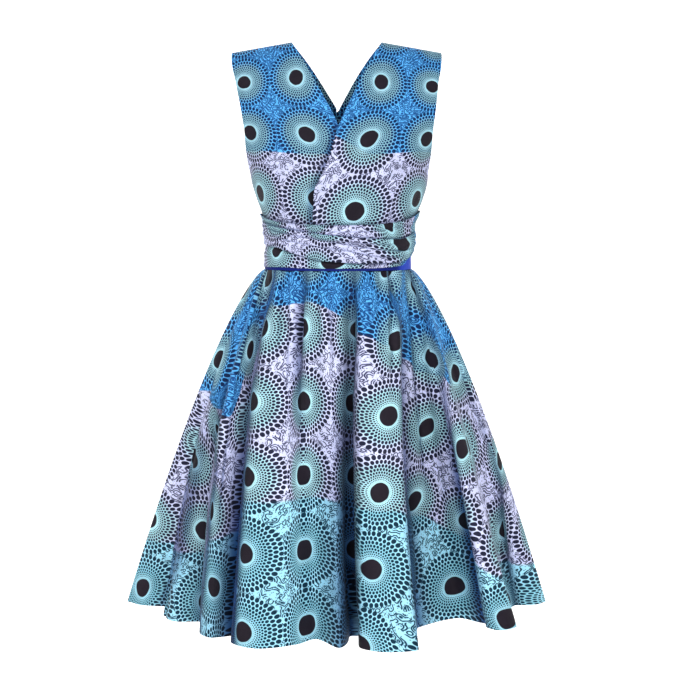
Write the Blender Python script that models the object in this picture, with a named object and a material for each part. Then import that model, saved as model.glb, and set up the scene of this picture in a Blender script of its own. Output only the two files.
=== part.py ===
"""Sleeveless wax print dress, worn: crossed bodice, waistband, wound sash and gathered skirt.

X is the viewer's right, Y is the back, Z is up, in metres. The origin lies between the
shoulders, where the wearer holds the dress up. Left and right in names are the wearer's.
"""
import math

import bpy
import numpy as np

# ---- driving sizes -------------------------------------------------------------------
WALL = 0.0015            # cloth with its turnings
SEAM_GAP = 0.0003        # between neighbouring pieces
GIRTH_POWER = 2.4        # 2 is an ellipse, more is squarer

SHOULDER_NECK_X = 0.0750
SHOULDER_RISE = 0.0051   # height of the shoulder seam at the neck
SHOULDER_SLOPE = 0.177
SLOPE_FADES = 0.10       # drop at which the rows lie level

WAIST_SEAM_DROP = 0.3722
BAND_HEIGHT = 0.030
HEM_DROP = 0.9445
FLARE = 0.735            # below 1 the skirt springs out at the waist

BACK_NECK_DROP = 0.1055
LAP_DEPTH = 0.0032       # how far the under front lies beneath the upper one
LAP_FROM_X = -0.105
LAP_FULL_X = -0.062

BUST_X = 0.076
BUST_DROP = 0.205
BUST_RISE = 0.010

GATHERS = 30
GATHER_DEPTH = 0.0030
GATHER_PEAK = 0.10       # share of the skirt's height where they are deepest

BODICE_COLUMNS = 14
BACK_COLUMNS = 9
RING_COLUMNS = 60
SASH_ROWS = 4
SKIRT_COLUMNS = 78

# The figure below the shoulders: silhouette x, girth half width, front and back depth, and
# how far the girth's middle leans to the viewer's right.
GIRTH = (
    # drop  edge_x  half    front   back    lean
    (0.0000, 0.1745, 0.2118, 0.0000, 0.0000, 0.0000),
    (0.0042, 0.1745, 0.2118, 0.0180, 0.0170, 0.0000),
    (0.0126, 0.1741, 0.2108, 0.0310, 0.0300, 0.0000),
    (0.0316, 0.1721, 0.2079, 0.0480, 0.0460, 0.0003),
    (0.0572, 0.1673, 0.2021, 0.0630, 0.0610, 0.0008),
    (0.0827, 0.1639, 0.1963, 0.0750, 0.0720, 0.0018),
    (0.1052, 0.1605, 0.1904, 0.0850, 0.0790, 0.0028),
    (0.1246, 0.1576, 0.1836, 0.0930, 0.0840, 0.0032),
    (0.1445, 0.1547, 0.1758, 0.1010, 0.0880, 0.0034),
    (0.1683, 0.1533, 0.1660, 0.1080, 0.0910, 0.0034),
    (0.1869, 0.1519, 0.1578, 0.1130, 0.0925, 0.0036),
    (0.1986, 0.1509, 0.1524, 0.1145, 0.0930, 0.0038),
    (0.2045, 0.1505, 0.1505, 0.1150, 0.0930, 0.0040),
    (0.2299, 0.1467, 0.1467, 0.1150, 0.0910, 0.0052),
    (0.2573, 0.1384, 0.1384, 0.1110, 0.0885, 0.0056),
    (0.2836, 0.1283, 0.1283, 0.1050, 0.0860, 0.0050),
    (0.3032, 0.1230, 0.1230, 0.1000, 0.0845, 0.0046),
    (0.3294, 0.1216, 0.1216, 0.0960, 0.0835, 0.0036),
    (0.3725, 0.1233, 0.1233, 0.0950, 0.0830, 0.0022),
    (0.3982, 0.1234, 0.1234, 0.0950, 0.0830, 0.0020),
)

# Free edge of the upper front, from the neck point to beneath the sash.
FRONT_EDGE = (
    # drop   x
    (0.0000, 0.0750),
    (0.1445, -0.0029),
    (0.1898, -0.0162),
    (0.2142, -0.0275),
    (0.2377, -0.0399),
    (0.2494, -0.0426),
    (0.3982, -0.0446),
)

# Skirt folds round the hem, from the viewer's left seam over the front to the right seam.
FRONT_FOLDS = (
    # hem_x   hem_y   waist angle
    (-0.360, 0.000, -90.0),
    (-0.331, -0.026, -87.5),
    (-0.274, -0.040, -84.5),
    (-0.288, -0.095, -82.5),
    (-0.258, -0.134, -80.0),
    (-0.208, -0.132, -77.5),
    (-0.219, -0.190, -75.5),
    (-0.197, -0.230, -74.0),
    (-0.156, -0.215, -72.5),
    (-0.165, -0.248, -71.0),
    (-0.119, -0.292, -52.0),
    (-0.062, -0.268, -33.0),
    (-0.033, -0.238, -20.0),
    (0.004, -0.288, -6.0),
    (0.034, -0.222, 6.0),
    (0.040, -0.286, 12.0),
    (0.079, -0.312, 32.0),
    (0.125, -0.298, 54.0),
    (0.119, -0.215, 60.0),
    (0.151, -0.150, 64.0),
    (0.202, -0.112, 68.0),
    (0.230, -0.145, 73.0),
    (0.264, -0.186, 77.0),
    (0.292, -0.160, 80.5),
    (0.286, -0.085, 83.5),
    (0.307, -0.028, 86.0),
    (0.341, -0.022, 88.0),
    (0.360, 0.000, 90.0),
)

# The hidden half, from the viewer's right seam round the back to the left seam.
BACK_FOLDS = (
    # hem_x   hem_y   waist angle
    (0.360, 0.000, 90.0),
    (0.339, 0.046, 93.0),
    (0.294, 0.060, 97.0),
    (0.288, 0.128, 101.0),
    (0.244, 0.152, 105.0),
    (0.206, 0.148, 109.0),
    (0.208, 0.216, 114.0),
    (0.161, 0.244, 120.0),
    (0.119, 0.206, 128.0),
    (0.105, 0.266, 140.0),
    (0.062, 0.290, 152.0),
    (0.026, 0.236, 166.0),
    (-0.014, 0.284, 180.0),
    (-0.065, 0.294, 196.0),
    (-0.097, 0.236, 210.0),
    (-0.129, 0.262, 222.0),
    (-0.173, 0.244, 232.0),
    (-0.202, 0.180, 241.0),
    (-0.228, 0.186, 247.0),
    (-0.266, 0.146, 253.0),
    (-0.270, 0.080, 259.0),
    (-0.321, 0.066, 264.0),
    (-0.345, 0.036, 267.5),
    (-0.360, 0.000, 270.0),
)

# Heights of the skirt's rows as shares from waist seam to hem.
SKIRT_ROWS = (0.0, 0.02, 0.05, 0.09, 0.14, 0.20, 0.28, 0.37, 0.47, 0.58, 0.69, 0.80, 0.90, 1.0)

# Sash stretches by waist angle: drop of the upper and of the lower edge.
SASH_LOWER = (
    # angle   upper   lower
    (-180.0, 0.3197, 0.3607),
    (-130.0, 0.3178, 0.3646),
    (-90.0, 0.3178, 0.3686),
    (-45.0, 0.3216, 0.3666),
    (-10.0, 0.3255, 0.3683),
    (25.0, 0.3255, 0.3676),
    (55.0, 0.3216, 0.3641),
    (66.0, 0.3178, 0.3547),
    (90.0, 0.3119, 0.3478),
    (130.0, 0.3158, 0.3547),
    (180.0, 0.3197, 0.3607),
)
SASH_UPPER = (
    # angle   upper   lower
    (-180.0, 0.2807, 0.3313),
    (-90.0, 0.2797, 0.3294),
    (-60.0, 0.2895, 0.3333),
    (-20.0, 0.2968, 0.3391),
    (0.0, 0.2978, 0.3410),
    (30.0, 0.2954, 0.3391),
    (60.0, 0.2875, 0.3352),
    (90.0, 0.2748, 0.3294),
    (180.0, 0.2807, 0.3313),
)
SASH_CROSSING = (
    # angle   upper   lower
    (-76.0, 0.2934, 0.3236),
    (-56.0, 0.2993, 0.3313),
    (-30.0, 0.3061, 0.3439),
    (-8.0, 0.3129, 0.3557),
    (15.0, 0.3187, 0.3597),
    (45.0, 0.3207, 0.3587),
    (80.0, 0.3080, 0.3410),
)
SASH_LOWER_OUT = 0.0023
SASH_UPPER_OUT = 0.0044
SASH_CROSSING_OUT = 0.0065
SASH_SWELL = 0.0022

COTTON_BLUE = (0.055, 0.150, 0.420, 1.0)
COTTON_LILAC = (0.470, 0.510, 0.760, 1.0)
COTTON_AQUA = (0.330, 0.600, 0.680, 1.0)
COTTON_ROYAL = (0.030, 0.060, 0.420, 1.0)


# ---- helpers -------------------------------------------------------------------------
def eased(table, column, at):
    """Smooth value of one column of a table whose first column rises, without overshoot."""
    knots = np.array([row[0] for row in table], float)
    values = np.array([row[column] for row in table], float)
    step = np.diff(knots)
    slope = np.diff(values) / step
    tangent = np.zeros(len(knots))
    tangent[0] = slope[0]
    tangent[-1] = slope[-1]
    for i in range(1, len(step)):
        if slope[i - 1] * slope[i] > 0.0:
            before = 2.0 * step[i] + step[i - 1]
            after = step[i] + 2.0 * step[i - 1]
            tangent[i] = (before + after) / (before / slope[i - 1] + after / slope[i])
    at = np.clip(np.asarray(at, float), knots[0], knots[-1])
    k = np.clip(np.searchsorted(knots, at, side="right") - 1, 0, len(step) - 1)
    t = (at - knots[k]) / step[k]
    near = (1.0 + 2.0 * t) * (1.0 - t) ** 2 * values[k]
    lean = t * (1.0 - t) ** 2 * step[k] * tangent[k]
    far = t ** 2 * (3.0 - 2.0 * t) * values[k + 1]
    reach = t ** 2 * (t - 1.0) * step[k] * tangent[k + 1]
    return near + lean + far + reach


def smooth_step(low, high, value):
    """0 below low, 1 above high, eased between."""
    t = min(max((value - low) / (high - low), 0.0), 1.0)
    return t * t * (3.0 - 2.0 * t)


def torso(angle, drop, out=0.0):
    """Plan point of the girth at one level. Angle 0 is the front, 90 the viewer's right."""
    half = float(eased(GIRTH, 2, drop)) + out
    front = float(eased(GIRTH, 3, drop)) + out
    back = float(eased(GIRTH, 4, drop)) + out
    sine = math.sin(math.radians(angle))
    cosine = math.cos(math.radians(angle))
    power = 2.0 / GIRTH_POWER
    lean = float(eased(GIRTH, 5, drop))
    x = math.copysign(half * abs(sine) ** power, sine)
    if cosine >= 0.0:
        fall = ((abs(x) - BUST_X) / 0.045) ** 2 + ((drop - BUST_DROP) / 0.05) ** 2
        bust = BUST_RISE * math.exp(-fall)
        return x + lean, -(front * cosine ** power + bust * min(1.0, 3.0 * cosine))
    return x + lean, back * abs(cosine) ** power


def angle_at(x, drop):
    """Front angle at which the girth passes a given x."""
    half = float(eased(GIRTH, 2, drop))
    share = min(abs(x) / half, 1.0) ** (GIRTH_POWER / 2.0)
    return math.copysign(math.degrees(math.asin(share)), x)


def row_height(x, drop):
    """Rows near the shoulder follow its slope, rows below the bust lie level."""
    tilt = SHOULDER_RISE - (abs(x) - SHOULDER_NECK_X) * SHOULDER_SLOPE
    return tilt * (1.0 - smooth_step(0.0, SLOPE_FADES, drop)) - drop


def grid(columns, rows, closed=False):
    """Quads of a sheet whose points run down each column, facing out."""
    quads = []
    for i in range(columns if closed else columns - 1):
        for j in range(rows - 1):
            a = i * rows + j
            b = (i + 1) % columns * rows + j
            quads.append((a, a + 1, b + 1, b))
    return quads


def cloth(name, points, quads, colour):
    """Closed wall: the outer face, the same face moved in, and a strip round each edge."""
    points = np.array(points, float)
    normals = np.zeros_like(points)
    for quad in quads:
        a, b, c, d = points[list(quad)]
        normals[list(quad)] += np.cross(c - a, d - b)
    at_seam = np.abs(points[:, 1]) < SEAM_GAP
    normals[at_seam, 1] = 0.0
    normals /= np.linalg.norm(normals, axis=1)[:, None]
    count = len(points)
    faces = list(quads) + [tuple(count + k for k in reversed(quad)) for quad in quads]
    edges = {(quad[k], quad[(k + 1) % 4]) for quad in quads for k in range(4)}
    for a, b in sorted(edges):
        if (b, a) not in edges:
            faces.append((b, a, count + a, count + b))
    mesh = bpy.data.meshes.new(name)
    mesh.from_pydata(np.vstack((points, points - normals * WALL)).tolist(), [], faces)
    mesh.shade_smooth()
    mesh.validate()
    piece = bpy.data.objects.new(name, mesh)
    bpy.context.scene.collection.objects.link(piece)
    material = bpy.data.materials.new(name)
    material.use_nodes = True
    shader = material.node_tree.nodes["Principled BSDF"]
    shader.inputs["Base Color"].default_value = colour
    shader.inputs["Roughness"].default_value = 0.75
    mesh.materials.append(material)
    return piece


def joined(points, quads):
    """Points that meet become one."""
    index = {}
    kept = []
    place = []
    for point in points:
        key = tuple(round(value, 7) for value in point)
        if key not in index:
            index[key] = len(kept)
            kept.append(point)
        place.append(index[key])
    return kept, [tuple(place[k] for k in quad) for quad in quads]


# ---- bodice --------------------------------------------------------------------------
def bodice_levels():
    """The girth table's rows down to the waistband, with one at each half step below."""
    levels = [row[0] for row in GIRTH if row[0] < WAIST_SEAM_DROP - BAND_HEIGHT]
    return levels + [WAIST_SEAM_DROP - BAND_HEIGHT]


def front_panel(name, mirror, lap, colour):
    """One front from its lapped edge out to the armhole and side seam."""
    levels = bodice_levels()
    points = []
    for i in range(BODICE_COLUMNS):
        share = i / (BODICE_COLUMNS - 1)
        for drop in levels:
            edge_x = float(eased(GIRTH, 1, drop))
            start = angle_at(float(eased(FRONT_EDGE, 1, drop)), drop)
            angle = start + (angle_at(edge_x, drop) - start) * share
            if mirror < 0:
                x, y = torso(-angle, drop)
                y += lap * smooth_step(LAP_FROM_X, LAP_FULL_X, x) * smooth_step(0.06, 0.12, drop)
            else:
                x, y = torso(angle, drop)
            points.append((x, min(y, -SEAM_GAP / 2.0), row_height(x, drop)))
    quads = grid(BODICE_COLUMNS, len(levels))
    if mirror < 0:
        quads = [tuple(reversed(quad)) for quad in quads]
    return cloth(name, points, quads, colour)


def back_panel(name, colour):
    """Whole back, with a V neck whose two sides meet at the centre."""
    levels = bodice_levels()
    points = []
    quads = []
    for side in (1.0, -1.0):
        offset = len(points)
        for i in range(BACK_COLUMNS):
            share = i / (BACK_COLUMNS - 1)
            for drop in levels:
                neck_x = SHOULDER_NECK_X * max(0.0, 1.0 - drop / BACK_NECK_DROP) ** 1.12
                outer = angle_at(float(eased(GIRTH, 1, drop)), drop)
                inner = angle_at(neck_x, drop)
                angle = 180.0 - side * (outer + (inner - outer) * share)
                x, y = torso(angle, drop)
                if neck_x == 0.0 and i == BACK_COLUMNS - 1:
                    x = 0.0
                points.append((x, max(y, SEAM_GAP / 2.0), row_height(x, drop)))
        for quad in grid(BACK_COLUMNS, len(levels)):
            turned = quad if side > 0.0 else tuple(reversed(quad))
            quads.append(tuple(offset + k for k in turned))
    points, quads = joined(points, quads)
    return cloth(name, points, quads, colour)


# ---- waist ---------------------------------------------------------------------------
def waistband(name, colour):
    """Plain ring between bodice and skirt."""
    drops = (WAIST_SEAM_DROP - BAND_HEIGHT + SEAM_GAP, WAIST_SEAM_DROP - BAND_HEIGHT / 2.0,
             WAIST_SEAM_DROP - SEAM_GAP)
    points = []
    for i in range(RING_COLUMNS):
        for drop in drops:
            x, y = torso(-180.0 + 360.0 * i / RING_COLUMNS, drop)
            points.append((x, y, -drop))
    return cloth(name, points, grid(RING_COLUMNS, len(drops), closed=True), colour)


def sash(name, table, out, colour):
    """A stretch of the sash between two edges, closed round the waist or ending at its sides."""
    first = table[0][0]
    span = table[-1][0] - first
    closed = span > 359.0
    columns = RING_COLUMNS if closed else RING_COLUMNS // 2 + 1
    points = []
    for i in range(columns):
        angle = first + span * i / (columns if closed else columns - 1)
        upper = float(eased(table, 1, angle))
        lower = float(eased(table, 2, angle))
        for j in range(SASH_ROWS + 1):
            share = j / SASH_ROWS
            drop = upper + (lower - upper) * share
            swell = SASH_SWELL * math.sin(math.pi * share) * (1.0 if out > 0.006 else 0.0)
            x, y = torso(angle, drop, out + swell)
            points.append((x, y, -drop))
    return cloth(name, points, grid(columns, SASH_ROWS + 1, closed), colour)


# ---- skirt ---------------------------------------------------------------------------
def fold_columns(folds, count):
    """Hem points and waist angles spread evenly along the cloth."""
    run = [0.0]
    for before, after in zip(folds, folds[1:]):
        along_hem = math.hypot(after[0] - before[0], after[1] - before[1])
        along_waist = 0.0018 * abs(after[2] - before[2])
        run.append(run[-1] + 0.7 * along_hem + 0.5 * along_waist)
    table = [(at,) + fold for at, fold in zip(run, folds)]
    places = np.linspace(0.0, run[-1], count)
    return zip(eased(table, 1, places), eased(table, 2, places), eased(table, 3, places))


def skirt_panel(name, folds, side, colour):
    """Half the skirt: folds grow from small gathers at the waist to the hem's plan."""
    points = []
    for hem_x, hem_y, angle in fold_columns(folds, SKIRT_COLUMNS):
        waist_x, waist_y = torso(angle, WAIST_SEAM_DROP)
        length = math.hypot(waist_x, waist_y)
        for share in SKIRT_ROWS:
            spread = share ** FLARE
            rise = share / GATHER_PEAK * math.exp(1.0 - share / GATHER_PEAK)
            gather = GATHER_DEPTH * rise * math.cos(math.radians(angle) * GATHERS)
            gather *= abs(math.cos(math.radians(angle)))
            x = waist_x + (hem_x - waist_x) * spread + gather * waist_x / length
            y = waist_y + (hem_y - waist_y) * spread + gather * waist_y / length
            y = min(y, -SEAM_GAP / 2.0) if side < 0.0 else max(y, SEAM_GAP / 2.0)
            points.append((x, y, -WAIST_SEAM_DROP - (HEM_DROP - WAIST_SEAM_DROP) * share))
    return cloth(name, points, grid(SKIRT_COLUMNS, len(SKIRT_ROWS)), colour)


def main():
    """Build every piece of the dress."""
    for old in list(bpy.data.objects):
        bpy.data.objects.remove(old, do_unlink=True)
    front_panel("bodice_front_left", 1, 0.0, COTTON_BLUE)
    front_panel("bodice_front_right", -1, LAP_DEPTH, COTTON_BLUE)
    back_panel("bodice_back", COTTON_BLUE)
    waistband("waistband", COTTON_ROYAL)
    sash("sash_lower_wrap", SASH_LOWER, SASH_LOWER_OUT, COTTON_LILAC)
    sash("sash_upper_wrap", SASH_UPPER, SASH_UPPER_OUT, COTTON_LILAC)
    sash("sash_crossing_stretch", SASH_CROSSING, SASH_CROSSING_OUT, COTTON_LILAC)
    skirt_panel("skirt_front", FRONT_FOLDS, -1.0, COTTON_AQUA)
    skirt_panel("skirt_back", BACK_FOLDS, 1.0, COTTON_AQUA)


main()
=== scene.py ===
"""Sleeveless wax print dress: cloth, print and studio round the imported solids.

X is the viewer's right, Y the back, Z up, in metres. Left and right in names are the wearer's.
"""
import math

import bmesh
import bpy
import numpy as np
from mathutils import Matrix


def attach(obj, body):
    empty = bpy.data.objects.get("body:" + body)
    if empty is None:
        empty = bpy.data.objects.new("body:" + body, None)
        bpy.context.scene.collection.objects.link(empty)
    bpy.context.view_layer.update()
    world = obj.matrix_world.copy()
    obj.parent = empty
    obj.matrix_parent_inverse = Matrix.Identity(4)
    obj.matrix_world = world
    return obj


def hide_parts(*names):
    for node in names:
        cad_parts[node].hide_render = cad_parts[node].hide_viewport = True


bl_info = {
    "name": "Wax Print Dress",
    "version": (1, 0, 0),
    "blender": (4, 5, 0),
    "location": "View3D > Sidebar > Dress",
    "description": "Worn sleeveless dress of printed cotton with a wound sash",
    "category": "Add Mesh",
}

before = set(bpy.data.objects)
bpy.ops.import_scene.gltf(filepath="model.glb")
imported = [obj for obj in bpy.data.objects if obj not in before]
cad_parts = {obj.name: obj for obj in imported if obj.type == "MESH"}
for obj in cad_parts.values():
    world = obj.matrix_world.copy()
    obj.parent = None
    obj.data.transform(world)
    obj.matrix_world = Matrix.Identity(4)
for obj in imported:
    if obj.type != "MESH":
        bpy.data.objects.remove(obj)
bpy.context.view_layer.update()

# ---- sizes ---------------------------------------------------------------------------
GIRTH_POWER = 2.4        # 2 is an ellipse, more is squarer
SHOULDER_NECK_X = 0.0750
SHOULDER_RISE = 0.0051   # height of the shoulder seam at the neck
SHOULDER_SLOPE = 0.177
SLOPE_FADES = 0.10       # drop at which the rows lie level
WAIST_DROP = 0.3722
BAND_DROP = 0.3422
HEM_DROP = 0.9445
FLARE = 0.735            # below 1 the skirt springs out at the waist
BACK_NECK_DROP = 0.1055
BACK_NECK_BEND = 1.12    # above 1 the sides of the back's V bow inward
SEAM_GAP = 0.0003        # between neighbouring pieces
LAP_DEPTH = 0.0032       # how far the under front lies beneath the upper one
LAP_ACROSS = (-0.105, -0.062)  # x where it begins to dip, and where it lies at full depth
LAP_DOWN = (0.06, 0.12)        # drops where it does
BUST_X = 0.076
BUST_DROP = 0.205
BUST_RISE = 0.010
BUST_WIDTH = 0.045
BUST_HEIGHT = 0.05
GATHERS = 30
GATHER_PEAK = 0.10       # share of the skirt's height where they are deepest
GATHER_UNEVEN = 0.45
GATHER_SLIDE = 0.5

# ---- fineness of the cloth -----------------------------------------------------------
SKIRT_COLUMNS = 340
SKIRT_ROWS = 132
BODICE_COLUMNS = 90
BODICE_ROWS = 100
GIRTH_STEPS = 721        # odd, so that one lies on the middle
BAND_ROWS = 9
RING_COLUMNS = 300
SASH_ROWS = 40
SMOOTH_DEGREES = 50.0
WAIST_DEGREE = 0.0018    # length of one degree of the waist
HEM_WEIGHT = 0.7         # shares of the hem and of the waist in the spacing of the columns
WAIST_WEIGHT = 0.5
ROWS_AT_WAIST = 0.72     # spacing of the first rows, as a share of the even one
ON_MIDDLE = 1e-6
WELD = 1e-4

# The figure below the shoulders: silhouette x, girth half width, front and back depth, lean.
GIRTH = (
    # drop  edge_x  half    front   back    lean
    (0.0000, 0.1745, 0.2118, 0.0000, 0.0000, 0.0000),
    (0.0042, 0.1745, 0.2118, 0.0180, 0.0170, 0.0000),
    (0.0126, 0.1741, 0.2108, 0.0310, 0.0300, 0.0000),
    (0.0316, 0.1721, 0.2079, 0.0480, 0.0460, 0.0003),
    (0.0572, 0.1673, 0.2021, 0.0630, 0.0610, 0.0008),
    (0.0827, 0.1639, 0.1963, 0.0750, 0.0720, 0.0018),
    (0.1052, 0.1605, 0.1904, 0.0850, 0.0790, 0.0028),
    (0.1246, 0.1576, 0.1836, 0.0930, 0.0840, 0.0032),
    (0.1445, 0.1547, 0.1758, 0.1010, 0.0880, 0.0034),
    (0.1683, 0.1533, 0.1660, 0.1080, 0.0910, 0.0034),
    (0.1869, 0.1519, 0.1578, 0.1130, 0.0925, 0.0036),
    (0.1986, 0.1509, 0.1524, 0.1145, 0.0930, 0.0038),
    (0.2045, 0.1505, 0.1505, 0.1150, 0.0930, 0.0040),
    (0.2299, 0.1467, 0.1467, 0.1150, 0.0910, 0.0052),
    (0.2573, 0.1384, 0.1384, 0.1110, 0.0885, 0.0056),
    (0.2836, 0.1283, 0.1283, 0.1050, 0.0860, 0.0050),
    (0.3032, 0.1230, 0.1230, 0.1000, 0.0845, 0.0046),
    (0.3294, 0.1216, 0.1216, 0.0960, 0.0835, 0.0036),
    (0.3725, 0.1233, 0.1233, 0.0950, 0.0830, 0.0022),
    (0.3982, 0.1234, 0.1234, 0.0950, 0.0830, 0.0020),
)

# Free edge of the upper front, from the neck point to beneath the sash.
FRONT_EDGE = (
    # drop   x
    (0.0000, 0.0750),
    (0.1445, -0.0029),
    (0.1898, -0.0162),
    (0.2142, -0.0275),
    (0.2377, -0.0399),
    (0.2494, -0.0426),
    (0.3982, -0.0446),
)

# Skirt folds from the viewer's left seam over the front: hem plan and waist angle.
FRONT_FOLDS = (
    # hem_x   hem_y   waist angle  bow
    (-0.360, 0.000, -90.0, 0.0),
    (-0.331, -0.026, -87.5, 0.0),
    (-0.274, -0.040, -84.5, -0.008),
    (-0.288, -0.095, -82.5, -0.013),
    (-0.258, -0.134, -80.0, -0.016),
    (-0.208, -0.132, -77.5, -0.018),
    (-0.219, -0.190, -75.5, -0.018),
    (-0.197, -0.230, -74.0, -0.016),
    (-0.156, -0.215, -72.5, -0.006),
    (-0.165, -0.248, -71.0, 0.0),
    (-0.119, -0.292, -52.0, 0.0),
    (-0.062, -0.268, -33.0, 0.0),
    (-0.033, -0.238, -20.0, 0.0),
    (0.004, -0.288, -6.0, 0.0),
    (0.034, -0.222, 6.0, 0.0),
    (0.040, -0.286, 12.0, 0.0),
    (0.079, -0.312, 32.0, -0.003),
    (0.125, -0.298, 54.0, -0.013),
    (0.119, -0.215, 60.0, -0.012),
    (0.151, -0.150, 64.0, -0.010),
    (0.202, -0.112, 68.0, -0.012),
    (0.230, -0.145, 73.0, -0.016),
    (0.264, -0.186, 77.0, -0.018),
    (0.292, -0.160, 80.5, -0.012),
    (0.286, -0.085, 83.5, -0.004),
    (0.307, -0.028, 86.0, 0.0),
    (0.341, -0.022, 88.0, 0.0),
    (0.360, 0.000, 90.0, 0.0),
)

# The hidden half, from the viewer's right seam round the back to the left seam.
BACK_FOLDS = (
    # hem_x   hem_y   waist angle  bow
    (0.360, 0.000, 90.0, 0.0),
    (0.339, 0.046, 93.0, 0.0),
    (0.294, 0.060, 97.0, 0.0),
    (0.288, 0.128, 101.0, 0.0),
    (0.244, 0.152, 105.0, 0.0),
    (0.206, 0.148, 109.0, 0.0),
    (0.208, 0.216, 114.0, 0.0),
    (0.161, 0.244, 120.0, 0.0),
    (0.119, 0.206, 128.0, 0.0),
    (0.105, 0.266, 140.0, 0.0),
    (0.062, 0.290, 152.0, 0.0),
    (0.026, 0.236, 166.0, 0.0),
    (-0.014, 0.284, 180.0, 0.0),
    (-0.065, 0.294, 196.0, 0.0),
    (-0.097, 0.236, 210.0, 0.0),
    (-0.129, 0.262, 222.0, 0.0),
    (-0.173, 0.244, 232.0, 0.0),
    (-0.202, 0.180, 241.0, 0.0),
    (-0.228, 0.186, 247.0, 0.0),
    (-0.266, 0.146, 253.0, 0.0),
    (-0.270, 0.080, 259.0, 0.0),
    (-0.321, 0.066, 264.0, 0.0),
    (-0.345, 0.036, 267.5, 0.0),
    (-0.360, 0.000, 270.0, 0.0),
)

# Sash stretches by waist angle: drop of the upper and of the lower edge.
SASH_LOWER = (
    (-180.0, 0.3197, 0.3607),
    (-130.0, 0.3178, 0.3646),
    (-90.0, 0.3178, 0.3686),
    (-45.0, 0.3216, 0.3666),
    (-10.0, 0.3255, 0.3683),
    (25.0, 0.3255, 0.3676),
    (55.0, 0.3216, 0.3641),
    (66.0, 0.3178, 0.3547),
    (90.0, 0.3119, 0.3478),
    (130.0, 0.3158, 0.3547),
    (180.0, 0.3197, 0.3607),
)
SASH_UPPER = (
    (-180.0, 0.2807, 0.3313),
    (-90.0, 0.2797, 0.3294),
    (-60.0, 0.2895, 0.3333),
    (-20.0, 0.2968, 0.3391),
    (0.0, 0.2978, 0.3410),
    (30.0, 0.2954, 0.3391),
    (60.0, 0.2875, 0.3352),
    (90.0, 0.2748, 0.3294),
    (180.0, 0.2807, 0.3313),
)
SASH_CROSSING = (
    (-76.0, 0.2934, 0.3236),
    (-56.0, 0.2993, 0.3313),
    (-30.0, 0.3061, 0.3439),
    (-8.0, 0.3129, 0.3557),
    (15.0, 0.3187, 0.3597),
    (45.0, 0.3207, 0.3587),
    (80.0, 0.3080, 0.3410),
)
SASH_EDGES = {"lower": SASH_LOWER, "upper": SASH_UPPER, "crossing": SASH_CROSSING}
SASH_OUT = {"lower": 0.0023, "upper": 0.0044, "crossing": 0.0065}
# Pleats along each stretch of the sash: how many, slide and twist.
SASH_PLEATS = {
    "lower": (2.2, 0.4, 0.15),
    "upper": (2.6, 1.9, -0.20),
    "crossing": (2.4, 3.1, 0.55),
}
PLEAT_HEIGHT = 0.00075

# Standing creases of the skirt: waist angle, where they run as shares of the height, drift of
# their foot sideways, half width and depth.
CREASES = (
    # angle   from  to     drift    width   depth
    (-74.0, 0.02, 0.62, 0.004, 0.0050, 0.0070),
    (-44.0, 0.00, 0.20, -0.004, 0.0040, 0.0040),
    (-37.0, 0.00, 0.26, -0.002, 0.0038, 0.0045),
    (-26.0, 0.00, 0.30, 0.000, 0.0034, 0.0050),
    (-14.0, 0.00, 0.18, 0.002, 0.0036, 0.0035),
    (-5.0, 0.00, 0.22, 0.000, 0.0036, 0.0040),
    (21.0, 0.00, 0.22, 0.002, 0.0036, 0.0040),
    (29.0, 0.00, 0.16, 0.002, 0.0036, 0.0035),
    (40.0, 0.00, 0.24, 0.004, 0.0036, 0.0050),
    (66.0, 0.02, 0.55, 0.000, 0.0050, 0.0060),
    (75.0, 0.00, 0.30, 0.004, 0.0040, 0.0040),
    (112.0, 0.00, 0.26, 0.003, 0.0040, 0.0045),
    (133.0, 0.00, 0.24, 0.002, 0.0038, 0.0045),
    (147.0, 0.00, 0.30, -0.002, 0.0036, 0.0045),
    (161.0, 0.00, 0.20, 0.001, 0.0036, 0.0040),
    (174.0, 0.00, 0.28, 0.000, 0.0036, 0.0045),
    (189.0, 0.00, 0.22, 0.002, 0.0036, 0.0040),
    (204.0, 0.00, 0.26, -0.002, 0.0036, 0.0045),
    (226.0, 0.00, 0.24, -0.003, 0.0038, 0.0045),
    (244.0, 0.00, 0.30, -0.004, 0.0040, 0.0045),
)
CREASE_GROWTH = 1.5      # how much wider a crease grows by the hem
CREASE_FAR_SIDE = 2.2    # width of its gentle side, as a share of the steep one
CREASE_SHADE_WIDTH = 0.0026     # half width of the painted shade line along a crease
CREASE_SHADE_PER_DEPTH = 150.0      # darkness of that painted shade for a crease one metre deep
CREASE_SHADE_MOST = 0.8
SEAM_CLEAR = 0.03        # width beside the side seams where folds and laps run out
SHADE_AT_WAIST = 0.72    # share of the skirt's fold shade that is left at the waist

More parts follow.
